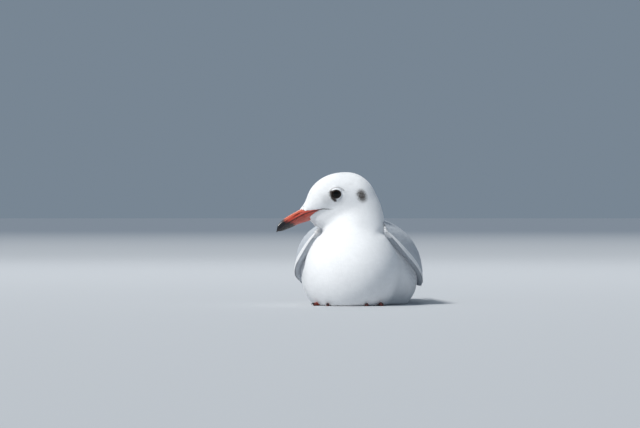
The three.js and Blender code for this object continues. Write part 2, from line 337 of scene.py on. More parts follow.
def lie_of_feathers(points, normals):
    """Which way the feathers point: back from the bill, down the neck and breast, and on to the tail.

    They part round the eyes.
    """
    head = to_head(points)
    headness = step_up(head[:, 2], -26, -12)[:, None]
    neckness = (step_up(points[:, 2], 46, 62) * step_up(-points[:, 1], 12, 26))[:, None]
    frontness = step_up(-points[:, 1], -5, 55)[:, None]
    tailward = np.array((0, 1.0, 0))
    downward = np.array((0, 0, -1.0))
    on_head = -HEAD_AXES[0] + 0.35 * downward
    on_neck = downward + 0.3 * tailward
    on_trunk = tailward * (1 - 0.8 * frontness) + downward * (0.12 + 0.9 * frontness)
    below_head = on_neck * neckness + on_trunk * (1 - neckness)
    flow = on_head * headness + below_head * (1 - headness)
    flow = flow - normals * (flow * normals).sum(1, keepdims=True)
    away = (head - EYE * np.where(head[:, 1:2] < 0, (1, -1, 1), 1)) @ HEAD_AXES
    away = unit(away - normals * (away * normals).sum(1, keepdims=True))
    beside_eye = (1 - step_up(near_eye(points), 1.3, 2.1))[:, None]
    return unit(flow - away * (flow * away).sum(1, keepdims=True) * 0.85 * beside_eye)


# ---------------------------------------------------------------- making meshes


def facing_out(points, faces):
    """The faces of a closed mesh, turned round if they face inwards."""
    a = points[faces[:, 0]]
    volume = 0
    for i in range(1, faces.shape[1] - 1):
        volume += np.sum(np.cross(a, points[faces[:, i]]) * points[faces[:, i + 1]])
    return faces if volume > 0 else faces[:, ::-1]


def make_piece(name, points, faces, material, slot):
    """A smooth mesh from points in millimetres and faces that all have the same number of corners."""
    mesh = bpy.data.meshes.new(name)
    points = np.asarray(points, float)
    faces = facing_out(points, np.asarray(faces)).astype(np.int32)
    mesh.vertices.add(len(points))
    mesh.vertices.foreach_set("co", (points * MM).astype(np.float32).ravel())
    mesh.loops.add(faces.size)
    mesh.loops.foreach_set("vertex_index", faces.ravel())
    mesh.polygons.add(len(faces))
    mesh.polygons.foreach_set("loop_start", np.arange(0, faces.size, faces.shape[1], dtype=np.int32))
    mesh.update(calc_edges=True)
    mesh.shade_smooth()
    mesh.materials.append(material)
    piece = bpy.data.objects.new(name, mesh)
    bpy.context.scene.collection.objects.link(piece)
    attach(piece, "root")
    return piece


def paint(piece, name, values):
    """Stores three values on each vertex, for the materials to read."""
    layer = piece.data.attributes.new(name, "FLOAT_VECTOR", "POINT")
    layer.data.foreach_set("vector", np.asarray(values, np.float32).ravel())


def corner_points(piece):
    """The number of the vertex at each corner of the piece's faces."""
    corners = np.zeros(len(piece.data.loops), np.int32)
    piece.data.loops.foreach_get("vertex_index", corners)
    return corners


def unwrap_to(piece, places):
    """Gives the piece its bake map, from one place on the map for each vertex."""
    layer = piece.data.uv_layers.new(name="OFBake")
    layer.data.foreach_set("uv", np.asarray(places, np.float32)[corner_points(piece)].ravel())


def place_on_map(points):
    """Where a point of the skin lies on its unwrap: the head rolled off above, the trunk below."""
    head = to_head(points)
    on_head = head[:, 2] > -17
    round_head = np.arctan2(head[:, 1], -head[:, 2] - 4)
    round_trunk = np.arctan2(points[:, 0], 30 - points[:, 2])
    across = np.where(on_head, round_head, round_trunk) / (2 * math.pi) + 0.5
    along = np.where(on_head, (head[:, 0] + 30) / 75, (points[:, 1] + 92) / 215)
    low = np.where(on_head, 0.66, 0.01)
    tall = np.where(on_head, 0.32, 0.62)
    return np.stack((0.01 + 0.98 * across, low + tall * np.clip(along, 0, 1)), 1)


def cell_points(value):
    """A point in each cell of a grid where the values change sign: their numbers, by cell, and places."""
    cells = np.array(value.shape) - 1
    corners = [np.array((i, j, k)) for i in (0, 1) for j in (0, 1) for k in (0, 1)]

    def at(corner):
        return value[tuple(slice(a, a + n) for a, n in zip(corner, cells))]

    count = sum((at(corner) < 0).astype(int) for corner in corners)
    crossed = (count > 0) & (count < len(corners))
    index = np.full(cells, -1)
    index[crossed] = np.arange(crossed.sum())
    total = np.zeros((crossed.sum(), 3))
    hits = np.zeros(crossed.sum())
    for corner in corners:
        for axis in np.flatnonzero(corner == 0):
            step = np.eye(3)[axis]
            a, b = at(corner)[crossed], at(corner + step.astype(int))[crossed]
            hit = (a < 0) != (b < 0)
            share = np.where(hit, a / np.where(hit, a - b, 1), 0)
            total += np.where(hit[:, None], corner + share[:, None] * step, 0)
            hits += hit
    return index, np.argwhere(crossed) + total / hits[:, None]


def cell_quads(value, index):
    """A quad round each edge of the grid that changes sign, through the points of its four cells."""
    cells = np.array(index.shape)
    quads = []
    for axis in range(3):
        u, v = np.eye(3, dtype=int)[(axis + 1) % 3], np.eye(3, dtype=int)[(axis + 2) % 3]
        near = np.take(value, range(cells[axis]), axis) < 0
        far = np.take(value, range(1, cells[axis] + 1), axis) < 0
        edge = np.argwhere(near != far)
        edge = edge[(edge @ u > 0) & (edge @ v > 0) & (edge @ u < cells @ u) & (edge @ v < cells @ v)]
        ring = np.stack([index[tuple((edge - shift).T)] for shift in (np.zeros(3, int), u, u + v, v)], 1)
        outward = near[tuple(edge.T)]
        ring[~outward] = ring[~outward][:, ::-1]
        quads.append(ring)
    return np.concatenate(quads)


def closed_surface(field, low, high, cell):
    """A closed mesh of quads where the field is zero, with one point in each cell that it crosses."""
    axes = [np.arange(a, b + cell, cell) for a, b in zip(low, high)]
    grid = np.stack(np.meshgrid(*axes, indexing="ij"), -1)
    value = field(grid.reshape(-1, 3)).reshape(grid.shape[:3])
    index, places = cell_points(value)
    return settle(field, np.array(low) + places * cell, 0), cell_quads(value, index)


def spread_out(points, spacing):
    """Which of the points to keep, so that no two of them are nearer than spacing."""
    taken = {}
    kept = []
    near = [(i, j, k) for i in (-1, 0, 1) for j in (-1, 0, 1) for k in (-1, 0, 1)]
    cells = np.floor(points / spacing).astype(int).tolist()

    def is_clear(x, y, z, a, b, c):
        for i, j, k in near:
            for px, py, pz in taken.get((a + i, b + j, c + k), ()):
                if (px - x) ** 2 + (py - y) ** 2 + (pz - z) ** 2 < spacing * spacing:
                    return False
        return True

    for number, (place, cell) in enumerate(zip(points.tolist(), cells)):
        if is_clear(*place, *cell):
            taken.setdefault(tuple(cell), []).append(place)
            kept.append(number)
    return points[kept]


def scatter(triangles, spacing, rng):
    """Points all over the triangles, spread out evenly and with no pattern."""
    a, b, c = triangles[:, 0], triangles[:, 1], triangles[:, 2]
    area = np.linalg.norm(np.cross(b - a, c - a), axis=1) / 2
    tries_each = 8
    tries = int(tries_each * area.sum() / spacing**2)
    pick = rng.choice(len(area), tries, p=area / area.sum())
    s = np.sqrt(rng.random(tries))[:, None]
    t = rng.random(tries)[:, None]
    points = a[pick] * (1 - s) + b[pick] * s * (1 - t) + c[pick] * s * t
    return spread_out(points, spacing)


# ---------------------------------------------------------------- markings


def spot(places, centre, reach):
    """1 in the middle of a soft oval spot and 0 beyond it. All are (x, y, z) in the head's frame."""
    apart = np.linalg.norm((places - centre) / reach, axis=1)
    return 1 - step_up(apart, 0.4, 1.3)


def streak(places, line, width):
    """1 along a line through the given places and 0 beyond its width."""
    nearest = np.full(len(places), 1e9)
    for start, end in zip(line[:-1], line[1:]):
        span = end - start
        share = np.clip((places - start) @ span / (span @ span), 0, 1)
        nearest = np.minimum(nearest, np.linalg.norm(places - start - share[:, None] * span, axis=1))
    return 1 - step_up(nearest, 0.4 * width, 1.3 * width)


# Dark lines on the left of the head, in its own frame: behind the corner of the mouth, and before the eye.
# The first runs on under the eye as painted shade in a crease of the feathers.
GAPE_AND_CREASE_LINE = np.array(((39.2, 2.5, 0.4), (31.9, 5.9, -0.4), (23.7, 9, -2), (18.2, 10.4, -4.9),
                      (14.5, 11.5, -5.9)))
SMUDGE_LINE = np.array(((13.6, 12.9, 7.6), (14.5, 13.0, 5.2), (14.6, 13.2, 2.6), (13.6, 13.5, 0.2)))


def dusky_marks_and_shade(points):
    """How dusky the head is, painted shade included: at the ear, before and below the eye, and along the
    mouth.
    """
    head = on_left(to_head(points))
    streaky = 0.93 + 0.07 * np.sin(2.1 * head[:, 2] + 2.5 * np.sin(1.7 * head[:, 0]))
    ear = streaky * spot(head, EAR_SPOT, (4.3, 6, 5.5))
    smudge = streak(head, SMUDGE_LINE, 1.55)
    # Dark at the corner of the mouth, and painted shade in the feathers' crease that runs on under the eye.
    gape_and_crease_shade = 0.8 * streak(head, GAPE_AND_CREASE_LINE, 0.5)
    below_eye = 0.06 * spot(head, (11.5, 12.8, -2.0), (5.5, 5, 3.2))
    # Painted shade in the hollow between the bill and the eye.
    shade_before_eye = 0.16 * spot(head, (18.5, 11, 3.5), (5, 5, 5))
    over_eye = 0.5 * (1 - step_up(np.abs(near_eye(points) - 1.62), 0.03, 0.14)) * (head[:, 2] > 4)
    return np.max((ear, smudge, gape_and_crease_shade, below_eye, shade_before_eye, over_eye), axis=0)


def marks_and_shade(points):
    """How grey and how dusky the plumage is at each point, with painted shade on the flanks and face."""
    on_head = step_up(to_head(points)[:, 2], -24, -16)
    behind_nape = (points[:, 1] - NAPE) + 0.55 * (points[:, 2] - 66)
    saddle = step_up(behind_nape, -5, 3) * step_up(points[:, 2], 40, 48)
    wings = (folded_wings(points) < plumage(points) - 0.4) & ~wing_front(points)
    # On the flanks the grey is painted shade under the folded wings.
    grey = np.where(wings, 1, np.maximum(saddle * (1 - on_head), flank_painted_shade(points)))
    dusky = on_head * dusky_marks_and_shade(points)
    return np.stack((grey, dusky, np.zeros(len(points))), 1)


def wing_front(points):
    """True on the white leading edge at a folded wing's wrist."""
    return (points[:, 1] < WING_WRIST + 3.2) & (wing_dome(points) > -2.4)


def flank_painted_shade(points):
    """Streaky grey painted on the flanks as shade under the folded wings; it fades out further below them."""
    x, y, z = points.T
    below_wing = wing_lower_edge(np.clip(y, WING_WRIST, 60)) - z
    streaks = 0.75 + 0.25 * np.sin(1.9 * z + 0.5 * y + 2 * np.sin(0.35 * y))
    outer = step_up(np.abs(x), 24, 37)
    return 0.8 * streaks * outer * (1 - step_up(below_wing, 2, 15)) * step_up(y, -42, -22)


# ---------------------------------------------------------------- feathers


PATCH = 0.0015  # half a feather's size on the bake map

# A barb is a closed blade: a root, two rows of left, right and ridge, and a point. Each has its place along
# the barb and its share of the width.
BARB_STATIONS = (0, 0.38, 0.72, 1)
BARB_SHARES = (0, 1.0, 0.75, 0)
BARB_TOP = ((0, 3, 1), (0, 2, 3), (1, 3, 6), (1, 6, 4), (3, 2, 5), (3, 5, 6), (4, 6, 7), (6, 5, 7))
BARB_UNDER = ((0, 1, 2), (2, 1, 4), (2, 4, 5), (5, 4, 7))
BARB_ALONG = np.array((0, 0.38, 0.38, 0.38, 0.72, 0.72, 0.72, 1))
BARB_ACROSS = np.array((0, 1, -1, 0, 0.7, -0.7, 0, 0))


def feather_barbs(field, roots, lie, length, width, depth, lift):
    """Thin pointed barbs that rise from their roots and run along the plumage's outside to their tips."""
    steepness = 7
    sag = 0.13
    ridge = 0.15
    centre = roots
    points, outward = [], []
    for before, here, share in zip((0,) + BARB_STATIONS, BARB_STATIONS, BARB_SHARES):
        centre = centre + lie * (length * (here - before))[:, None]
        proud, up = distance_out(field, centre)
        level = -depth * (1 - here) ** steepness - sag * (1 - here) + lift * here
        centre = centre - up * (proud - level)[:, None]
        lie = unit(lie - up * (lie * up).sum(1, keepdims=True))
        side = np.cross(up, lie)
        wide = (width * share)[:, None]
        if share == 0:
            points += [centre]
            outward += [up]
        else:
            points += [centre + side * wide, centre - side * wide, centre + up * wide * ridge]
            outward += [unit(up + 0.2 * side), unit(up - 0.2 * side), up]
    return np.stack(points, 1), np.stack(outward, 1)


def lies_flat(points, outward):
    """Which barbs are neither folded over nor stretched where the plumage is creased."""
    top = np.cross(points[:, 2] - points[:, 1], points[:, 7] - points[:, 1])
    facing = np.abs((unit(top) * outward[:, 5]).sum(1))
    reach = np.linalg.norm(points[:, 7] - points[:, 0], axis=1)
    return (facing > 0.7) & (reach < 1.5 * tuft_length(points[:, 0]) + 1)


def clear_of_face(points):
    """Which barbs keep off the eyes' openings and the corners of the mouth."""
    off_eye = near_eye(points[:, 1:]).min(1) > 1.36
    x, _, z = to_head(points[:, 4]).T
    high = z - mouth_line(x)
    off_mouth = (x < 24) | (high > gape_above(x)) | (-high > gape_below(x))
    return off_eye & off_mouth


def tuft_barbs(field, lie_at, roots, look, rng):
    """The barbs of all the tufts of one piece of the coat, and the number of each one's root."""
    proud, up = distance_out(field, roots)
    lie = lie_at(roots, up)
    count = look["barbs"]
    which = np.repeat(np.arange(len(roots)), count)
    fan = np.tile(np.linspace(-1, 1, count), len(roots))
    turn = np.radians(look["fan"]) * fan + rng.normal(0, 0.10, len(which))
    turn = turn + rng.normal(0, 0.09, len(roots))[which]
    aside = np.cross(up, lie)[which]
    swung = lie[which] * np.cos(turn)[:, None] + aside * np.sin(turn)[:, None]
    size = tuft_length(roots) * look.get("size", 1.0)
    length = (size * rng.uniform(0.85, 1.15, len(roots)))[which]
    length = length * (1 - 0.18 * fan**2) * rng.uniform(0.85, 1.1, len(which))
    width = (0.15 + 0.062 * np.minimum(size, 6.5))[which] * rng.uniform(0.8, 1.2, len(which))
    depth = 0.15 - proud[which]
    ruffle = look["ruffle"]
    lift = 0.02 + rng.normal(0, ruffle, len(roots))[which] + rng.normal(0, ruffle, len(which))
    lift = lift - look.get("tucked", 0) * step_up(to_head(roots)[:, 2], -21, -17)[which]
    apart = (fan * 0.35 * look["spacing"])[:, None]
    start = roots[which] + aside * apart - lie[which] * 0.3 * length[:, None]
    points, outward = feather_barbs(field, start, swung, length, width, depth, lift)
    kept = clear_of_face(points) & lies_flat(points, outward)
    return points[kept], outward[kept], which[kept]


def tuft_piece(name, field, lie_at, roots, look, material, rng):
    """One piece of the coat, with a small fan of barbs on every root."""
    points, outward, which = tuft_barbs(field, lie_at, roots, look, rng)
    count, each = points.shape[:2]
    barb = np.array(BARB_TOP + BARB_UNDER)
    faces = (np.arange(count)[:, None, None] * each + barb).reshape(-1, 3)
    piece = make_piece(name, points.reshape(-1, 3), faces, material, "white_plumage")
    outward = outward.reshape(-1, 3)
    shade_with(piece, outward, -outward, np.tile(np.arange(len(barb)) >= len(BARB_TOP), count))
    shown = marks_and_shade(points[:, 6])
    shown[:, 0] = np.maximum(shown[:, 0], look.get("grey", 0) * ~wing_front(points[:, 6]))
    paint(piece, "marks_and_shade", np.repeat(shown, each, 0))
    along, across = np.tile(BARB_ALONG, count), np.tile(BARB_ACROSS, count)
    chance = rng.random(len(roots))[which]
    paint(piece, "feather", np.stack((along, across, np.repeat(chance, each)), 1))
    unwrap_to(piece, patches(roots[which], along, across))


def shade_with(piece, normals, others, turned):
    """Sets which way the surface faces at each corner, from its vertex. Turned faces use the others."""
    corners = corner_points(piece)
    turned = np.repeat(turned, len(corners) // len(turned))[:, None]
    facing = np.where(turned, others[corners], normals[corners])
    piece.data.normals_split_custom_set(facing.astype(np.float32).tolist())


def patches(roots, along, across):
    """Places on the bake map for the points of feathers: a small patch at the root of each."""
    each = len(along) // len(roots)
    return np.repeat(place_on_map(roots), each, 0) + np.stack((across, 2 * along - 1), 1) * PATCH


# ---------------------------------------------------------------- vanes


def vane_outline(u):
    """How wide a vane is along its length, as a share of its widest."""
    base = 0.5 + 0.5 * step_up(u, -0.1, 0.45)
    tip = np.clip(1 - np.clip((u - 0.6) / 0.41, 0, 1) ** 2.6, 0, 1) ** 0.5
    return base * tip


def leaf_faces(rows, columns):
    """The quads of a closed leaf: a top and an underside of rows × columns points, joined along the rim."""
    grid = np.arange(rows * columns).reshape(rows, columns)
    top = np.stack((grid[:-1, :-1], grid[:-1, 1:], grid[1:, 1:], grid[1:, :-1]), -1).reshape(-1, 4)
    under = top[:, ::-1] + rows * columns
    rim = np.concatenate((grid[0, :-1], grid[:-1, -1], grid[-1, :0:-1], grid[:0:-1, 0]))
    after = np.roll(rim, -1)
    side = np.stack((after, rim, rim + rows * columns, after + rows * columns), 1)
    return np.concatenate((top, under, side))


def close_leaves(middle, up, thick):
    """Gives each leaf of middle points (feather, row, column) a top and an underside, thin at the rim."""
    across = np.linspace(-1, 1, middle.shape[2])
    half = thick / 2 * (1 - 0.8 * across**4)[:, None]
    top, under = middle + up * half, middle - up * half
    points = np.stack((top, under), 1)
    outward = np.stack((up, -up), 1)
    return points.reshape(len(middle), -1, 3), outward.reshape(len(middle), -1, 3)


def leaf_grid(count, shape):
    """How far along and across its feather each point lies, for a count of closed leaves."""
    rows, columns = shape
    along, across = np.meshgrid(np.linspace(0, 1, rows), np.linspace(-1, 1, columns), indexing="ij")
    return np.tile(along.ravel(), 2 * count), np.tile(across.ravel(), 2 * count)


def vane_piece(name, middle, up, thick, places, material, slot, rng):
    """One piece of closed leaves from their middle points (feather, row, column)."""
    count, rows, columns = middle.shape[:3]
    each = 2 * rows * columns
    leaves, outward = close_leaves(middle, up, thick)
    faces = (np.arange(count)[:, None, None] * each + leaf_faces(rows, columns)).reshape(-1, 4)
    piece = make_piece(name, leaves.reshape(-1, 3), faces, material, slot)
    top = np.tile(np.arange(each) < rows * columns, count)[:, None]
    rim = np.arange(len(faces) // count) >= 2 * (rows - 1) * (columns - 1)
    outward = outward.reshape(-1, 3)
    shade_with(piece, outward, np.where(top, outward, -outward), np.tile(rim, count))
    along, across = leaf_grid(count, (rows, columns))
    chance = np.repeat(rng.random(count), each)
    paint(piece, "feather", np.stack((along, across, chance), 1))
    unwrap_to(piece, places)
    return piece


COVER_SHAPE = (9, 7)
COVER_RISE = 0.6  # how far each cover's tip stands above its root


def cover_feathers(field, roots, lie_at, length, width, rng):
    """The middle points of rounded overlapping feathers that hug a field, and which way they face."""
    rows, columns = COVER_SHAPE
    u = np.linspace(0, 1, rows)
    v = np.linspace(-1, 1, columns)
    centre = settle(field, roots, -COVER_RISE)
    leaves = np.empty((len(roots), rows, columns, 3))
    for row in range(rows):
        proud, up = distance_out(field, centre)
        centre = centre - up * (proud + COVER_RISE * (1 - u[row]))[:, None]
        lie = lie_at(centre, up)
        wide = width * vane_outline(u[row])
        leaves[:, row] = centre[:, None] + np.cross(up, lie)[:, None] * (wide[:, None] * v)[..., None]
        centre = centre + lie * (length / (rows - 1))[:, None]
    flat = leaves.reshape(-1, 3)
    proud, up = distance_out(field, flat)
    camber = 0.12 * (1 - v**2) - 0.2 * np.abs(v)
    level = camber - COVER_RISE * (1 - u)[:, None] + rng.normal(0, 0.05, len(roots))[:, None, None]
    flat = flat - up * (proud - level.ravel())[:, None]
    return flat.reshape(leaves.shape), up.reshape(leaves.shape)


# ---------------------------------------------------------------- flight feathers


def wing_point(side, y, angle, depth):
    """A point on a folded wing, by its place along it and its angle up from the lower edge."""
    width, low, rise = wing_section(y)
    power = 2 / WING_ROUNDNESS
    across = np.sign(np.cos(angle)) * np.abs(np.cos(angle)) ** power
    high = np.sign(np.sin(angle)) * np.abs(np.sin(angle)) ** power
    outward = unit(np.stack((across / width, high / rise), -1))
    x = side * (width * across - depth * outward[..., 0])
    return np.stack((x, y, low + rise * high - depth * outward[..., 1]), -1)


def long_feathers(side, starts, ends, half_width, depths, shape, droop=0.0):
    """The middle points of long feathers along a folded wing, and which way they face.

    Starts and ends are (y, angle in degrees) for each feather. Depths are how far in it lies, shape is its
    rows and columns of points, and droop is how much further in its tip is.
    """
    rows, columns = shape
    u = np.linspace(0, 1, rows)[:, None]
    v = np.linspace(-1, 1, columns)
    count = len(starts)
    start, end = np.array(starts, float)[:, None, None], np.array(ends, float)[:, None, None]
    y = np.repeat(start[..., 0] + (end - start)[..., 0] * u, columns, 2)
    angle = np.radians(start[..., 1] + (end - start)[..., 1] * u**1.2)
    nudge = 0.02
    arc = np.linalg.norm(wing_point(1, y, angle + nudge, 0.0) - wing_point(1, y, angle, 0.0), axis=-1) / nudge
    wide = np.broadcast_to(half_width, count)[:, None, None] * vane_outline(u)
    angle = angle + v * wide / np.maximum(arc, 3)
    lower = np.broadcast_to(droop, count)[:, None, None] * step_up(u, 0.5, 1.1)
    depth = np.broadcast_to(depths, count)[:, None, None] + lower - 0.1 * (1 - v**2)
    middle = wing_point(side, y, angle, depth)
    lengthwise = np.gradient(middle, axis=1)
    crosswise = np.gradient(middle, axis=2)
    up = unit(np.cross(lengthwise, crosswise)) * side
    return middle, up


# ---------------------------------------------------------------- bill

BILL_BASE = 20.5
BILL_TIP = 63

# The bill's shape, by place along it in the head's frame.
bill_half_width = curve((22, 3.6), (30, 4.2), (36, 4.4), (46, 3.3), (56, 2.1), (63, 0.5))
bill_culmen = curve((22, 3.4), (36, 3.9), (50, 3.5), (56, 2.4), (60.5, 0.3), (63, -2.5))
bill_keel = curve((22, -7.6), (36, -6.7), (44, -5.4), (50, -5.3), (57, -4.6), (61.5, -3.9))
mouth_line = curve((20, -3.2), (23.7, -2.0), (31.9, -0.5), (39, 0.2), (47, -0.1), (55, -1.2), (61, -2.8),
                   (63, -3.4))

# The corner of the mouth: its half width, and how far it shows above and below the mouth's line.
gape_width = curve((20, 9.6), (23.7, 9.1), (28, 7.75), (31.9, 6.25), (36, 4.9), (39, 4.1))
gape_above = curve((20, 0.1), (23.7, 0.25), (28, 0.9), (34, 2.0), (38.5, 2.6))
gape_below = curve((20, 0.1), (23.7, 0.25), (28, 1.1), (32.4, 3.1), (34, 3.9))


def tube(rings):
    """Points and triangles of a closed tube through rings of points (ring, around)."""
    count, around = rings.shape[:2]
    points = np.concatenate((rings.reshape(-1, 3), [rings[0].mean(0), rings[-1].mean(0)]))
    index = np.arange(count * around).reshape(count, around)
    after = np.roll(index, -1, 1)
    quads = np.stack((index[:-1], after[:-1], after[1:], index[1:]), -1).reshape(-1, 4)
    walls = np.concatenate((quads[:, (0, 1, 2)], quads[:, (0, 2, 3)]))
    start = np.stack((after[0], index[0], np.full(around, count * around)), 1)
    end = np.stack((index[-1], after[-1], np.full(around, count * around + 1)), 1)
    return points, np.concatenate((walls, start, end))


def bill_flange(x, z, wide, spread):
    """How far the corner of the mouth stands out beyond the mandible's own side."""
    from_mouth = np.abs(z - mouth_line(x)) / spread(x)
    room = np.clip(gape_width(x) - wide, 0, 9) * (1 - step_up(x, 36, 39))
    return room * np.clip(1 - from_mouth**4, 0, 1)


def bill_shell(name, outer, end, material):
    """One mandible, with the nostril's slit where it is the upper one."""
    upper = outer is bill_culmen
    stations, around = 96, 56
    along = BILL_BASE + (end - BILL_BASE) * (1 - (1 - np.linspace(0, 1, stations)) ** 1.4)
    turn = np.linspace(0, 2 * math.pi, around, endpoint=False)
    x, t = np.meshgrid(along, turn, indexing="ij")
    reach = outer(np.minimum(x, end)) - mouth_line(x)
    near_tip = np.sqrt(np.clip((end - x) / 3.0, 0, 1))
    arc = np.where(np.sin(t) > 0, np.sin(t), 0.12 * np.sin(t))
    z = mouth_line(x) + reach * arc * np.maximum(near_tip, 0.05) ** 0.6
    wide = bill_half_width(x) * (1.0 if upper else 0.93) * np.maximum(near_tip, 0.02)
    side = np.sign(np.cos(t)) * np.abs(np.cos(t)) ** 0.8
    lip = 1 + 0.05 * np.exp(-(((np.sin(t) - 0.12) / 0.16) ** 2))
    y = wide * side * lip * (1 - 0.18 * np.clip(np.sin(t), 0, 1))
    y = y + np.sign(side) * bill_flange(x, z, np.abs(y), gape_above if upper else gape_below)
    if upper:
        y = y - np.sign(y) * nostril(x, z)
    else:
        z = z - 0.1
    rings = from_head(np.stack((x, y, z), -1).reshape(-1, 3)).reshape(stations, around, 3)
    points, faces = tube(rings)
    piece = make_piece(name, points, faces, material, "bill")
    x, y, z = to_head(points).T
    paint(piece, "place", np.stack((x, np.abs(y), z - mouth_line(x)), 1))
    return piece


def furrow(x, z, middle, half_length, half_height):
    """1 in the middle of a long furrow above the mouth and 0 beyond its ends and edges."""
    above_mouth = 1.5
    high = mouth_line(x) + above_mouth
    return np.exp(-(((x - middle) / half_length) ** 4) - ((z - high) / half_height) ** 2)


def nostril(x, z):
    """The depth of the nostril's slit and of the shallow groove round it."""
    slit = furrow(x, z, 42.5, 3.0, 0.4)
    groove = furrow(x, z, 40, 8, 1.0)
    return 1.1 * slit + 0.3 * groove


# ---------------------------------------------------------------- eyes


def eye_frame(side):
    """The middle of an eye, the way it looks, and the two directions of its opening."""
    outward = unit(np.array((0.24, side * 1.0, 0.03)))
    lean = math.radians(EYE_LEAN)
    ahead = unit(np.array((math.cos(lean), 0, math.sin(lean))))
    ahead = unit(ahead - outward * (ahead @ outward))
    above = np.cross(outward, ahead)
    above = above * np.sign(above[2])
    return EYE * (1, side, 1), outward, ahead, above


def eye_ball(name, side, material):
    """An eyeball with its cornea, as rings from the middle of the pupil backwards."""
    middle, outward, ahead, above = eye_frame(side)
    angles = np.concatenate((np.linspace(0.5, 60, 36), np.linspace(64, 178, 20)))
    turns = np.linspace(0, 2 * math.pi, 48, endpoint=False)
    ring = np.cos(turns)[:, None] * ahead + np.sin(turns)[:, None] * above
    rings = []
    for angle in angles:
        radius = EYE_RADIUS + 0.35 * math.exp(-((angle / 30) ** 4))
        turn = math.radians(angle)
        rings.append(middle + radius * (math.cos(turn) * outward + math.sin(turn) * ring))
    points, faces = tube(np.stack(rings))
    piece = make_piece(name, from_head(points), faces, material, "eyes")
    offset = points - middle
    across = np.linalg.norm(offset - np.outer(offset @ outward, outward), axis=1)
    paint(piece, "place", np.stack((across, offset @ ahead, offset @ above), 1))
    return piece


# For each ring of the lid: how far it lies outside the opening, lengthwise and upwards, and how proud of
# the eyeball it is.
LID_PROFILE = ((-0.1, -0.1, -0.6), (-0.08, -0.08, 0.1), (0.08, 0.08, 0.32), (0.28, 0.3, 0.4),
               (0.5, 0.55, 0.38), (0.9, 1.1, 0.34), (1.3, 1.8, 0.32), (1.6, 2.4, 0.2), (2.0, 2.9, -1.2))


def eyelid(name, side, material):
    """A lid all round the eye: a rounded lip on the eyeball, and skin that falls away under the feathers."""
    middle, outward, ahead, above = eye_frame(side)
    around = 72
    turns = np.linspace(0, 2 * math.pi, around, endpoint=False)
    rings = []
    for ahead_by, above_by, proud in LID_PROFILE:
        across = (EYE_OPENING[0] + ahead_by) * np.cos(turns)
        high = (EYE_OPENING[1] + above_by) * np.sin(turns)
        out = np.sqrt(np.maximum(EYE_RADIUS**2 - across**2 - high**2, 0.2))
        way = unit(across[:, None] * ahead + high[:, None] * above + out[:, None] * outward)
        rings.append(middle + (EYE_RADIUS + proud) * way)
    index = np.arange(len(rings) * around).reshape(-1, around)
    after, below = np.roll(index, -1, 1), np.roll(index, -1, 0)
    quads = np.stack((index, after, np.roll(after, -1, 0), below), -1).reshape(-1, 4)
    points = from_head(np.concatenate(rings))
    piece = make_piece(name, points, quads, material, "white_plumage")
    paint(piece, "place", np.repeat(LID_PROFILE, around, 0))
    paint(piece, "marks_and_shade", marks_and_shade(points))


# ---------------------------------------------------------------- legs and feet

LEG_APART = 13
HEEL = 7
TOE_ROOT = -38
TOES = ((31, -18), (39, 3), (35, 23))  # length, and angle outwards in degrees


def toe_rings(start, end, radii):
    """Rings along a straight toe or shank, flattened where they meet the floor."""
    span = end - start
    along = unit(span)
    aside = unit(np.cross(along, (0, 0, 1.0)))
    above = np.cross(aside, along)
    turns = np.linspace(0, 2 * math.pi, 20, endpoint=False)
    rings = []
    for share, radius in zip(np.linspace(0, 1, len(radii)), radii):
        ring = np.cos(turns)[:, None] * aside + np.sin(turns)[:, None] * above
        rings.append(start + span * share + radius * ring)
    rings = np.stack(rings)
    rings[..., 2] = np.maximum(rings[..., 2], 0)
    return rings


def toe(start, end, thick, joints):
    """A toe with a swelling at each joint and fine plates across its top."""
    share = np.linspace(0, 1, 90)
    swell = sum(np.exp(-(((share - joint) / 0.05) ** 2)) for joint in joints)
    plates = 0.05 * np.abs(np.sin(share * math.pi * 26))
    ends = np.sqrt(np.clip(share / 0.03, 0, 1)) * np.sqrt(np.clip((1 - share) / 0.04, 0, 1))
    radii = (thick * (1 - 0.3 * share) + 0.3 * swell + plates) * np.maximum(ends, 0.05)
    return toe_rings(start, end, radii)


def claw(tip, along):
    """A short curved black claw that ends just above the floor."""
    length = 4.2
    upward = np.array((0, 0, 1.0))
    aside = np.cross(along, upward)
    turns = np.linspace(0, 2 * math.pi, 14, endpoint=False)
    ring = np.cos(turns)[:, None] * aside + np.sin(turns)[:, None] * upward
    rings = []
    for share in np.linspace(0, 1, 16):
        hook = 0.9 * math.sin(math.pi * share * 0.8) - 0.75 * share**2
        radius = 0.85 * (1 - share) ** 0.7 + 0.06
        rings.append(tip + along * length * share + upward * hook + radius * ring)
    rings = np.stack(rings)
    rings[..., 2] = np.maximum(rings[..., 2], 0.02)
    return rings


def join_tubes(tubes):
    """One list of points and triangles from several tubes."""
    points, faces, total = [], [], 0
    for rings in tubes:
        more, triangles = tube(rings)
        points.append(more)
        faces.append(triangles + total)
        total += len(more)
    return np.concatenate(points), np.concatenate(faces)


def web(root, tips):
    """The web between the toes, with a dip in its edge between each pair."""
    columns, rows = 25, 14
    share = np.linspace(0, 1, columns)
    spans = len(tips) - 1
    reach = 0.93 - 0.17 * np.sin(math.pi * (share * spans % 1.0)) ** 2
    which = np.minimum((share * spans).astype(int), spans - 1)
    blend = share * spans - which
    ends = np.array([tips[i] * (1 - b) + tips[i + 1] * b for i, b in zip(which, blend)])
    u = np.linspace(0.02, 1, rows)[:, None, None]
    middle = root + (ends - root) * reach[:, None] * u
    middle[..., 2] = 0.85 + 0.1 * np.sin(share * 37)
    up = np.zeros_like(middle)
    up[..., 2] = 1
    points, _ = close_leaves(middle[None], up[None], 0.7)
    return points[0], leaf_faces(rows, columns)


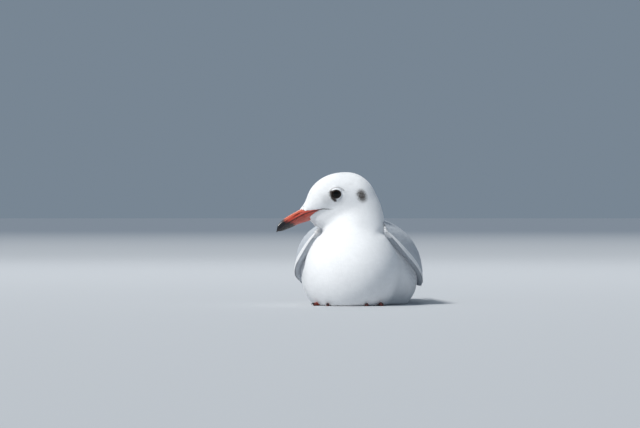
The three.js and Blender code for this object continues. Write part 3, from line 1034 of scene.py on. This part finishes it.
def foot(name, side, material, claw_material):
    """A shank laid along the floor, with its toes, web and claws."""
    root = np.array((side * LEG_APART, TOE_ROOT, 2.2))
    heel = np.array((side * LEG_APART, HEEL, 2.6))
    tips, tubes, claws = [], [], []
    for length, angle in TOES:
        turn = math.radians(angle)
        along = np.array((side * math.sin(turn), -math.cos(turn), 0))
        tip = root * (1, 1, 0) + (0, 0, 1.2) + along * length
        joints = (0.02, 0.38, 0.66, 0.88) if length > 38 else (0.02, 0.48, 0.84)
        tips.append(tip)
        tubes.append(toe(root - (0, 0, 0.6), tip, 1.75, joints))
        claws.append(claw(tip - along * 1.2, along))
    tubes.append(toe(heel, root + (0, 0, 0.2), 2.5, (0.02, 0.97)))
    toes = make_piece(name, *join_tubes(tubes), material, "legs")
    make_piece(name + "_web", *web(root * (1, 1, 0), tips), material, "legs")
    make_piece(name + "_claws", *join_tubes(claws), claw_material, "legs")
    return toes


# ---------------------------------------------------------------- materials


def add_node(tree, kind, inputs=None, **settings):
    """Adds a shader node. An input is a number or colour, or another node's output to link."""
    made = tree.nodes.new(kind)
    for name, value in settings.items():
        setattr(made, name, value)
    for socket, value in (inputs or {}).items():
        if isinstance(value, bpy.types.NodeSocket):
            tree.links.new(value, made.inputs[socket])
        else:
            made.inputs[socket].default_value = value
    return made


def maths(tree, operation, a, b=0.0, c=0.0):
    """One step of arithmetic on numbers."""
    return add_node(tree, "ShaderNodeMath", {0: a, 1: b, 2: c}, operation=operation).outputs[0]


def ramp(tree, value, start, end, kind="LINEAR"):
    """0 where the value is at start, 1 where it is at end, and in between on the way."""
    inputs = {0: value, 1: start, 2: end}
    return add_node(tree, "ShaderNodeMapRange", inputs, interpolation_type=kind).outputs[0]


def mixed(tree, share, a, b):
    """A colour between a and b."""
    return add_node(tree, "ShaderNodeMix", {0: share, 6: a, 7: b}, data_type="RGBA").outputs[2]


def shaded(tree, colour, shade):
    """The colour made darker or lighter by a number."""
    grey = add_node(tree, "ShaderNodeCombineXYZ", {0: shade, 1: shade, 2: shade}).outputs[0]
    inputs = {0: 1.0, 6: colour, 7: grey}
    return add_node(tree, "ShaderNodeMix", inputs, data_type="RGBA", blend_type="MULTIPLY").outputs[2]


def object_places(tree):
    """The place of each point, in metres."""
    return add_node(tree, "ShaderNodeTexCoord").outputs["Object"]


def noise(tree, scale, detail=2.0):
    """Soft noise, with scale lumps to the metre."""
    inputs = {"Vector": object_places(tree), "Scale": scale, "Detail": detail}
    return add_node(tree, "ShaderNodeTexNoise", inputs).outputs[0]


def split(tree, vector):
    """The three numbers of a vector."""
    return add_node(tree, "ShaderNodeSeparateXYZ", {0: vector}).outputs


def stored(tree, name):
    """The three values that paint() stored on the piece."""
    return add_node(tree, "ShaderNodeAttribute", attribute_name=name).outputs["Vector"]


def new_group(name, inputs, outputs):
    """An empty shader group with named sockets, with its input and output nodes."""
    group = bpy.data.node_groups.new(name, "ShaderNodeTree")
    for title, kind in inputs.items():
        group.interface.new_socket(title, in_out="INPUT", socket_type="NodeSocket" + kind)
    for title, kind in outputs.items():
        group.interface.new_socket(title, in_out="OUTPUT", socket_type="NodeSocket" + kind)
    return group, group.nodes.new("NodeGroupInput").outputs, group.nodes.new("NodeGroupOutput").inputs


def plumage_colours():
    """Mixes the plumage's colours by its marks and painted shade, with soft unevenness and some difference
    between feathers.
    """
    sockets = {"Marks and shade": "Vector", "Feather": "Vector", "White": "Color", "Grey": "Color", "Dusky": "Color"}
    group, given, made = new_group("plumage colours", sockets, {"Color": "Color", "Height": "Float"})
    grey, dusky, _ = split(group, given["Marks and shade"])
    _, _, chance = split(group, given["Feather"])
    colour = mixed(group, grey, given["White"], given["Grey"])
    colour = mixed(group, dusky, colour, given["Dusky"])
    patches_shade = maths(group, "MULTIPLY_ADD", noise(group, 60.0), 0.12, 0.93)
    feather_shade = maths(group, "MULTIPLY_ADD", chance, 0.05, 0.97)
    shade = maths(group, "MULTIPLY", patches_shade, feather_shade)
    group.links.new(shaded(group, colour, shade), made["Color"])
    group.links.new(noise(group, 2500.0), made["Height"])
    return group


def vane_relief():
    """The fine barbs of a vane, slanting away from its shaft, and masks of its shaft and of its edge."""
    sockets = {"Feather": "Vector", "Barbs": "Float", "Slant": "Float"}
    results = {"Height": "Float", "Shaft": "Float", "Edge": "Float"}
    group, given, made = new_group("vane relief", sockets, results)
    along, across, _ = split(group, given["Feather"])
    from_shaft = maths(group, "ABSOLUTE", across)
    place = maths(group, "MULTIPLY_ADD", from_shaft, maths(group, "MULTIPLY", given["Slant"], -1.0), along)
    wobble = maths(group, "MULTIPLY_ADD", noise(group, 300.0), 0.06, place)
    wave = maths(group, "SINE", maths(group, "MULTIPLY", wobble, given["Barbs"]))
    shaft_width = 1 / 14
    shaft = ramp(group, from_shaft, shaft_width, 0.0)
    height = maths(group, "MULTIPLY_ADD", shaft, 1.5, maths(group, "MULTIPLY", wave, 0.5))
    group.links.new(height, made["Height"])
    group.links.new(shaft, made["Shaft"])
    group.links.new(ramp(group, from_shaft, 0.72, 1.0), made["Edge"])
    return group


def use_group(tree, group, inputs):
    """Places a group in a material, and gives its outputs."""
    return add_node(tree, "ShaderNodeGroup", inputs, node_tree=group).outputs


def new_material(name, roughness, **shader_values):
    """A material with one Principled shader, whose plain values are set on its own sockets."""
    material = bpy.data.materials.new(name)
    material.use_nodes = True
    tree = material.node_tree
    shader = tree.nodes["Principled BSDF"]
    shader.inputs["Roughness"].default_value = roughness
    for title, value in shader_values.items():
        shader.inputs[title.replace("_", " ")].default_value = value
    return material, tree, shader


def finish(tree, shader, colour, height=None, distance=0.0, strength=1.0):
    """Gives the shader its colour, and a relief where there is a height."""
    tree.links.new(colour, shader.inputs["Base Color"])
    if height is not None:
        values = {"Height": height, "Distance": distance, "Strength": strength}
        tree.links.new(add_node(tree, "ShaderNodeBump", values).outputs[0], shader.inputs["Normal"])


WHITE = (0.86, 0.87, 0.885, 1)
PEARL_GREY = (0.50, 0.535, 0.58, 1)
PALE_EDGE = (0.62, 0.65, 0.68, 1)
DUSKY = (0.055, 0.043, 0.038, 1)
BLACK = (0.012, 0.012, 0.013, 1)


def plumage_material(colours):
    """The skin and its soft feathers: white, grey and dusky by their marks and painted shade."""
    material, tree, shader = new_material("plumage", 0.8, Sheen_Weight=0.15, Sheen_Roughness=0.5)
    values = {"Marks and shade": stored(tree, "marks_and_shade"), "Feather": stored(tree, "feather"), "White": WHITE,
              "Grey": PEARL_GREY, "Dusky": DUSKY}
    made = use_group(tree, colours, values)
    finish(tree, shader, made["Color"], made["Height"], 0.0001, 0.3)
    return material


def vane_material(name, relief, barbs, base, tip=None, tip_start=0.8, tip_end=1.0, edge=None, edge_share=0.0):
    """A vane's colours: base to tip along it, and another at its edge. Barbs is how many it shows."""
    material, tree, shader = new_material(name, 0.6, Sheen_Weight=0.06, Sheen_Roughness=0.4,
                                          Specular_IOR_Level=0.3)
    feather = stored(tree, "feather")
    made = use_group(tree, relief, {"Feather": feather, "Barbs": barbs, "Slant": 0.12})
    along, _, chance = split(tree, feather)
    ragged = maths(tree, "MULTIPLY_ADD", noise(tree, 220.0), 0.03, along)
    at_tip = ramp(tree, ragged, tip_start, tip_end, "SMOOTHSTEP")
    colour = mixed(tree, at_tip, base, tip or base)
    colour = mixed(tree, maths(tree, "MULTIPLY", made["Edge"], edge_share), colour, edge or base)
    shade = maths(tree, "MULTIPLY_ADD", chance, 0.10, 0.93)
    shade = maths(tree, "SUBTRACT", shade, maths(tree, "MULTIPLY", made["Shaft"], 0.12))
    finish(tree, shader, shaded(tree, colour, shade), made["Height"], 0.00005, 0.25)
    return material


def bill_material():
    """Streaked red horn with a painted highlight along its paler ridge, a black tip and a dark line along the
    mouth.
    """
    material, tree, shader = new_material("bill horn", 0.34, Coat_Weight=0.45, Coat_Roughness=0.12)
    along, _, high = split(tree, stored(tree, "place"))
    drawn_out = maths(tree, "MULTIPLY", along, 0.25)
    streaks = add_node(tree, "ShaderNodeCombineXYZ", {0: drawn_out, 1: high}).outputs[0]
    grain = add_node(tree, "ShaderNodeTexNoise", {"Vector": streaks, "Scale": 1.6, "Detail": 4.0}).outputs[0]
    red = mixed(tree, grain, (0.20, 0.012, 0.010, 1), (0.70, 0.095, 0.05, 1))
    # Painted highlight: the top of the ridge is made paler.
    ridge = maths(tree, "MULTIPLY", ramp(tree, high, 1.9, 3.8), 0.7)
    red = mixed(tree, ridge, red, (0.74, 0.19, 0.10, 1))
    towards_tip = maths(tree, "MULTIPLY_ADD", grain, 9.0, along)
    towards_tip = maths(tree, "MULTIPLY_ADD", high, -0.8, towards_tip)
    at_tip = ramp(tree, towards_tip, 53.5, 57.0, "SMOOTHSTEP")
    colour = mixed(tree, at_tip, red, (0.008, 0.006, 0.008, 1))
    lip = maths(tree, "MULTIPLY", ramp(tree, maths(tree, "ABSOLUTE", high), 0.6, 0.1), 0.9)
    colour = mixed(tree, lip, colour, (0.02, 0.008, 0.009, 1))
    finish(tree, shader, colour, grain, 0.0002, 0.4)
    return material


def eye_material():
    """A wet eye with a very dark iris round the pupil."""
    material, tree, shader = new_material("eye", 0.3, Coat_Weight=1.0, Coat_Roughness=0.02, Coat_IOR=1.3,
                                          Specular_IOR_Level=0.0)
    across, _, _ = split(tree, stored(tree, "place"))
    iris = mixed(tree, noise(tree, 900.0, 3.0), (0.006, 0.003, 0.002, 1), (0.016, 0.008, 0.005, 1))
    colour = mixed(tree, ramp(tree, across, 2.35, 2.1), iris, (0.001, 0.001, 0.001, 1))
    colour = mixed(tree, ramp(tree, across, 3.0, 3.7), colour, (0.003, 0.002, 0.002, 1))
    finish(tree, shader, colour)
    return material


def eyelid_material():
    """A bare dark lip on the eyeball, and the plumage's colours and painted shade outside it."""
    material, tree, shader = new_material("eyelid", 0.6)
    further, _, _ = split(tree, stored(tree, "place"))
    _, dusky, _ = split(tree, stored(tree, "marks_and_shade"))
    feathered = mixed(tree, dusky, WHITE, DUSKY)
    colour = mixed(tree, ramp(tree, further, 0.15, 0.45), (0.035, 0.022, 0.02, 1), feathered)
    finish(tree, shader, colour, noise(tree, 4000.0), 0.0001, 0.5)
    return material


def leg_material():
    """Dark red skin with small plates."""
    material, tree, shader = new_material("leg skin", 0.45, Coat_Weight=0.15, Coat_Roughness=0.3)
    colour = mixed(tree, noise(tree, 250.0, 4.0), (0.20, 0.022, 0.014, 1), (0.32, 0.05, 0.028, 1))
    cells = {"Vector": object_places(tree), "Scale": 900.0}
    plates = add_node(tree, "ShaderNodeTexVoronoi", cells).outputs["Distance"]
    colour = mixed(tree, maths(tree, "MULTIPLY", plates, 0.5), colour, (0.10, 0.015, 0.012, 1))
    finish(tree, shader, colour, plates, 0.0002, -0.5)
    return material


def claw_material():
    """Black horn."""
    material, tree, shader = new_material("claw horn", 0.35)
    colour = mixed(tree, noise(tree, 700.0), (0.012, 0.010, 0.010, 1), (0.03, 0.024, 0.022, 1))
    finish(tree, shader, colour, noise(tree, 1500.0), 0.0001, 0.3)
    return material


def stage_material():
    """Pale near the bird and darker far away, as deep as the studio's air: a painted falloff of light."""
    material, tree, shader = new_material("pale paper", 0.9)
    length = add_node(tree, "ShaderNodeVectorMath", {0: object_places(tree)}, operation="LENGTH")
    # Painted falloff of light: the floor darkens away from the bird to the colour of the studio air.
    far = ramp(tree, length.outputs["Value"], 0.8, 14.0, "SMOOTHSTEP")
    finish(tree, shader, mixed(tree, far, (0.50, 0.52, 0.545, 1), (0.20, 0.235, 0.28, 1)))
    return material


# ---------------------------------------------------------------- the coat, region by region


def is_wing(points):
    """True where the skin is a folded wing's."""
    body = plumage(points) + coat_depth(points) + wing_groove(points)
    return folded_wings(points, WING_COAT) < body


def bill_room(points):
    """True where a point lies in or against the bill."""
    x, y, z = to_head(points).T
    margin = 0.4
    beyond_feathers = x > 36
    beside = np.abs(y) < bill_half_width(x) - margin
    between = (z < bill_culmen(x) - margin) & (z > bill_keel(x) + margin)
    return beyond_feathers & beside & between


def region_of(points):
    """The name of the region that each point of the skin belongs to. No feathers grow on bare skin."""
    x, y, z = points.T
    head_x, head_y, head_z = to_head(points).T
    names = np.full(len(points), "flanks", object)
    names[y > 62] = "rump"
    names[(y < -28) & (z > 3)] = "breast_right"
    names[(names == "breast_right") & (x > 0)] = "breast_left"
    names[z < 5] = "belly"
    names[(z > 54) & (y < 25)] = "neck"
    names[head_z > -21] = "head"
    names[(head_z > -21) & (head_x > 3)] = "face_right"
    names[(names == "face_right") & (head_y > 0)] = "face_left"
    wings = is_wing(points)
    names[wings] = "wings"
    along_edge = z < wing_lower_edge(np.clip(y, WING_WRIST, WING_TIP)) + 1.5
    under = wing_dome(points) < -WING_COAT - 0.5
    front = y < WING_WRIST + 2.2
    names[wings & (along_edge | under | front)] = "wing_rims"
    names[wings & (y > 64)] = "bare"
    names[bill_room(points)] = "bare"
    return names


def tuft_length(points):
    """Short on the face, longer on the neck and longest on the flanks."""
    head = to_head(points)
    face = step_up(head[:, 0], -16, 30)
    by_eye = 1 - 0.6 * (1 - step_up(near_eye(points), 1.3, 2.6))
    on_head = (4.8 - 2.5 * face) * by_eye
    on_trunk = 6.2 + 4.8 * step_up(points[:, 1], -48, 20)
    headness = step_up(head[:, 2], -22, -17)
    return on_trunk + (on_head - on_trunk) * headness


# Spacing is how far apart the roots are, and fan how far the barbs of a tuft spread, in degrees. Ruffle is
# how unevenly the tips lie, and tucked how far those under the head's edge sink in.
FACE_LOOK = dict(spacing=0.74, barbs=5, fan=13, ruffle=0.01)
BREAST_LOOK = dict(spacing=1.15, barbs=7, fan=15, ruffle=0.01)
COAT_LOOKS = {
    "face_left": FACE_LOOK,
    "face_right": FACE_LOOK,
    "head": dict(spacing=0.98, barbs=6, fan=13, ruffle=0.01),
    "neck": dict(spacing=1.0, barbs=6, fan=14, ruffle=0.01, tucked=0.25),
    "breast_left": BREAST_LOOK,
    "breast_right": BREAST_LOOK,
    "flanks": dict(spacing=1.6, barbs=8, fan=17, ruffle=0.05),
    "belly": dict(spacing=2.1, barbs=7, fan=16, ruffle=0.0),
    "rump": dict(spacing=1.9, barbs=7, fan=16, ruffle=0.02),
    "wing_rims": dict(spacing=1.0, barbs=4, fan=14, ruffle=0.01, grey=1.0, size=0.6),
}

# The grey covers by band: its name, where it starts and ends along Y, and its feathers' spacing, length and
# half width.
COVER_BANDS = (("wrist", -60, -33, 1.5, 5.5, 1.6), ("shoulders", -33, -12, 2.3, 8, 2.5),
               ("back", -12, 22, 3.0, 12, 3.3), ("loin", 22, 60, 3.8, 16, 4.4))


def skin_and_coat(plumage_look, grey_vane, rng):
    """The skin, its soft tufts region by region, and the grey covers on the back and wings."""
    low, high, cell = (-55, -92, 0), (55, 127, 104), 1.3  # the box that holds the skin, and its mesh size
    points, quads = closed_surface(body_skin, low, high, cell)
    skin = make_piece("skin", points, quads, plumage_look, "white_plumage")
    paint(skin, "marks_and_shade", marks_and_shade(points))
    paint(skin, "feather", np.full((len(points), 3), 0.5))
    triangles = points[np.concatenate((quads[:, (0, 1, 2)], quads[:, (0, 2, 3)]))]
    centres = triangles.mean(1)
    regions = region_of(centres)
    on_head = np.isin(regions, ("face_left", "face_right", "head"))
    under_head = on_head & (to_head(centres)[:, 2] < -14)
    for name, look in COAT_LOOKS.items():
        mine = (regions == name) | (under_head & (name == "neck"))
        roots = scatter(triangles[mine], look["spacing"], rng)
        rims = name == "wing_rims"
        field = rim_outside if rims else body_outside
        lie_at = lie_on_wing if rims else lie_of_feathers
        tuft_piece("coat_" + name, field, lie_at, roots, look, plumage_look, rng)
    y = centres[:, 1]
    on_wing = is_wing(centres) & (wing_dome(centres) > -WING_COAT - 0.4) & (y > WING_WRIST + 1.7)
    under_neck = (regions == "neck") & (folded_wings(centres, WING_COAT) < 3) & (y > WING_WRIST + 1.5)
    covers(triangles[on_wing | under_neck], grey_vane, rng)
    return skin


def rim_outside(points):
    """Below zero inside the small feathers of a folded wing's edge."""
    return folded_wings(points, 0.1)


def back_outside(points):
    """Below zero under the covers, which run smoothly from the back on to the wings."""
    softness = 1.5
    return -largest([-wing_dome(points), -plumage(points)], softness)


def lie_on_wing(points, normals):
    """Feathers on the back and wings point to the tail, along the wing's own lines."""
    step = 1.0
    y = np.clip(points[:, 1], WING_WRIST, WING_TIP - step)
    width, low, rise = wing_section(y)
    widen = (wing_half_width(y + step) - width) / step
    climb = (wing_lower_edge(y + step) - low) / step
    grow = (wing_ridge(y + step) - wing_ridge(y)) / step - climb
    high = np.clip((points[:, 2] - low) / rise, 0, 1)
    flow = unit(np.stack((points[:, 0] / width * widen, np.ones(len(points)), climb + high * grow), 1))
    return unit(flow - normals * (flow * normals).sum(1, keepdims=True))


def behind_loin(points):
    """True where the flight feathers take over from the covers, behind a plane that leans forwards."""
    backward, upward, distance = 0.883, 0.469, 62
    return backward * points[:, 1] + upward * points[:, 2] > distance


def covers(triangles, material, rng):
    """The grey feathers of the back and of the front of the wings, small at the front and larger behind."""
    x, y, _ = triangles.mean(1).T
    for side_name, side in (("left", 1), ("right", -1)):
        for band, start, end, spacing, length, width in COVER_BANDS:
            roots = scatter(triangles[(y >= start) & (y < end) & (side * x > 0)], spacing, rng)
            roots = roots[(above_edge(roots) > 0.4 + 0.5 * width) & ~behind_loin(roots)]
            roots = roots[np.argsort(-roots[:, 1])]
            size = rng.uniform(0.88, 1.12, len(roots))
            middle, up = cover_feathers(back_outside, roots, lie_on_wing, length * size, width * size, rng)
            places = patches(roots, *leaf_grid(len(roots), COVER_SHAPE))
            vane_piece(f"coat_{band}_{side_name}", middle, up, 0.16, places, material, "grey_plumage", rng)


def strip_map(count, shape):
    """A bake map for long feathers, with a strip for each: its top below, its underside above."""
    rows, columns = shape
    u, v = np.meshgrid(np.linspace(0.02, 0.98, rows), np.linspace(-0.42, 0.42, columns), indexing="ij")
    number = np.arange(count)[:, None, None]
    half = np.arange(2)[None, :, None]
    across, along = np.broadcast_arrays((number + 0.5 + v.ravel()) / count, 0.5 * half + 0.5 * u.ravel())
    return np.stack((across.ravel(), along.ravel()), 1)


def long_feather_piece(name, middle, up, thick, material, slot, rng):
    """One piece of long feathers from their middle points."""
    places = strip_map(len(middle), middle.shape[1:3])
    return vane_piece(name, middle, up, thick, places, material, slot, rng)


def primaries(side_name, side, material, rng):
    """The long black-tipped feathers of a wing's hand, folded into a point. The longest lies lowest."""
    count = 8
    k = np.arange(count)
    starts = np.stack((50 + k, 5 + 3.4 * k), 1)
    tips = np.stack((213.5 - 13.5 * k, 24 + 4.0 * k), 1)
    half_width = 5.2 + 0.35 * k
    depths = 1.5 - 0.14 * k
    middle, up = long_feathers(side, starts, tips, half_width, depths, (34, 9))
    return long_feather_piece(f"primaries_{side_name}", middle, up, 0.4, material, "black_plumage", rng)


def tertials(side_name, side, material, rng):
    """The broad pale-tipped feathers that lie over the primaries, from the wing's edge to the back."""
    tips = np.array(((94, 20), (101, 27), (108, 34), (116, 43), (124, 54), (130, 66), (124, 76), (115, 84)))
    count = len(tips)
    starts = np.stack((np.full(count, 46), np.linspace(22, 84, count)), 1)
    depths = np.linspace(1.9, 0.25, count)
    droop = np.linspace(0.5, 3.2, count)
    half_width = 6.8
    middle, up = long_feathers(side, starts, tips, half_width, depths, (26, 9), droop)
    return long_feather_piece(f"tertials_{side_name}", middle, up, 0.4, material, "pale_plumage", rng)


def wing_edge(side_name, side, material, rng):
    """The row of small white feathers along a wing's lower edge."""
    y = np.arange(-46, 14, 1.8)
    starts = np.stack((y, np.full(len(y), 0.6)), 1)
    ends = np.stack((y + 9, np.full(len(y), 1.4)), 1)
    half_width = white_edge_width(y) * np.sqrt(1 + edge_steepness(y + 4) ** 2)
    depth = -0.15  # just proud of the coat
    middle, up = long_feathers(side, starts, ends, half_width, depth, (8, 7))
    return long_feather_piece(f"wing_edge_{side_name}", middle, up, 0.3, material, "white_plumage", rng)


def tail_feathers(material, rng):
    """Twelve white tail feathers, folded into one slightly arched fan with the middle pair on top."""
    count = 12
    k = (np.arange(count) - (count - 1) / 2)[:, None, None]
    u = np.linspace(0, 1, 26)[:, None]
    v = np.linspace(-1, 1, 9)
    x = k * (1.2 + 1.45 * u) + v * 7.2 * vane_outline(u)
    y = TAIL_ROOT + (TAIL_TIP - 1.2 * np.abs(k) - TAIL_ROOT) * u
    z = 29 - 5 * u - 4 * (x / 22) ** 2 * u + 0.9 - 0.13 * np.abs(k) * (0.4 + 0.6 * u)
    middle = np.stack(np.broadcast_arrays(x, y, z), -1)
    up = unit(np.cross(np.gradient(middle, axis=2), np.gradient(middle, axis=1)))
    return long_feather_piece("tail_feathers", middle, up, 0.4, material, "white_plumage", rng)


# ---------------------------------------------------------------- light, floor and camera


AIM = (0, 0, 0.06)  # where the lights point, in metres


def stage():
    """A wide round pale floor."""
    radius = 60.0
    turns = np.linspace(0, 2 * math.pi, 96, endpoint=False)
    rim = [(radius * math.cos(t), radius * math.sin(t), 0.0) for t in turns]
    mesh = bpy.data.meshes.new("studio_floor")
    mesh.from_pydata(rim, [], [list(range(len(rim)))])
    mesh.materials.append(stage_material())
    floor = bpy.data.objects.new("studio_floor", mesh)
    bpy.context.scene.collection.objects.link(floor)


def placed(name, thing, place, target):
    """An object for a light or a camera, put at a place and turned to its target."""
    made = bpy.data.objects.new(name, thing)
    made.location = place
    made.rotation_euler = (Vector(target) - Vector(place)).to_track_quat("-Z", "Y").to_euler()
    bpy.context.scene.collection.objects.link(made)
    return made


def soft_light(name, place, size, power, colour=(1, 1, 1)):
    """A round lamp that points at the bird."""
    lamp = bpy.data.lights.new(name, "AREA")
    lamp.shape = "DISK"
    lamp.size = size
    lamp.energy = power
    lamp.color = colour
    placed(name, lamp, place, AIM)


def studio_air():
    """The even bluish light that comes from all round."""
    world = bpy.data.worlds.new("studio air")
    world.use_nodes = True
    background = world.node_tree.nodes["Background"]
    background.inputs["Color"].default_value = (0.67, 0.85, 1.05, 1)
    background.inputs["Strength"].default_value = 0.28
    bpy.context.scene.world = world


def lights():
    """A high key light from the bird's front right, a weak fill from its left, and a lamp behind it."""
    sun = bpy.data.lights.new("key", "SUN")
    sun.energy = 3.35
    sun.angle = math.radians(12)
    sun.color = (1.0, 0.985, 0.955)
    placed("key", sun, (-1.2, -1.7, 2.4), AIM)
    soft_light("fill", (2.2, -1.6, 1.0), 2.0, 0.8, (0.80, 0.90, 1.0))
    soft_light("back", (-0.6, 1.9, 2.0), 1.5, 12)
    studio_air()


def camera():
    """A long lens, level with the breast, a little to the bird's left of straight ahead."""
    turn = math.radians(8)
    distance = 3.0
    to_left, high = 0.0311, 0.0702
    target = (-to_left * math.cos(turn), -to_left * math.sin(turn), high)
    place = (target[0] + distance * math.sin(turn), target[1] - distance * math.cos(turn), high)
    lens = bpy.data.cameras.new("camera")
    lens.lens = 216
    lens.sensor_width = 36
    bpy.context.scene.camera = placed("camera", lens, place, target)


# ---------------------------------------------------------------- the whole bird


def bill():
    """Both mandibles."""
    horn = bill_material()
    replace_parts(bill_shell("bill_top", bill_culmen, BILL_TIP, horn), "bill_upper")
    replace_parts(bill_shell("bill_bottom", bill_keel, BILL_TIP - 1.5, horn), "bill_lower")


def long_feather_looks(relief):
    """The materials of the feathers of tail and wings."""
    return {
        "tail": vane_material("tail vane", relief, 420.0, WHITE),
        "white": vane_material("white vane", relief, 160.0, WHITE),
        "dark_tips": vane_material("primary", relief, 420.0, PEARL_GREY, BLACK, 0.22, 0.38, PALE_EDGE, 0.06),
        "pale_tips": vane_material("tertial", relief, 380.0, PEARL_GREY, WHITE, 0.93, 1.0, PALE_EDGE, 0.5),
    }


def side_of_bird(side_name, side, looks, skins, rng):
    """One side's eye, folded wing and foot."""
    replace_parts(eye_ball(f"eyeball_{side_name}", side, skins["eye"]), f"eye_{side_name}")
    eyelid(f"eyelid_{side_name}", side, skins["lid"])
    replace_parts(primaries(side_name, side, looks["dark_tips"], rng), f"wing_{side_name}_primaries")
    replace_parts(tertials(side_name, side, looks["pale_tips"], rng), f"wing_{side_name}_tertials")
    wing_edge(side_name, side, looks["white"], rng)
    toes = foot(f"toes_{side_name}", side, skins["leg"], skins["claw"])
    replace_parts(toes, f"leg_{side_name}", f"foot_{side_name}")


def main():
    """The scene, and the whole bird from its skin outwards."""
    bpy.context.scene.view_settings.view_transform = "Standard"
    rng = np.random.default_rng(7)
    camera()
    lights()
    stage()
    relief = vane_relief()
    soft = plumage_material(plumage_colours())
    grey_vane = vane_material("grey vane", relief, 260.0, PEARL_GREY, edge=(0.50, 0.54, 0.58, 1),
                              edge_share=0.35)
    skin = skin_and_coat(soft, grey_vane, rng)
    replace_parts(skin, "head", "neck", "breast", "trunk", "rump", "wing_left_coverts", "wing_right_coverts")
    bill()
    looks = long_feather_looks(relief)
    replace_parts(tail_feathers(looks["tail"], rng), "tail")
    skins = {"eye": eye_material(), "lid": eyelid_material(), "leg": leg_material(), "claw": claw_material()}
    for side_name, side in (("left", 1), ("right", -1)):
        side_of_bird(side_name, side, looks, skins, rng)


main()
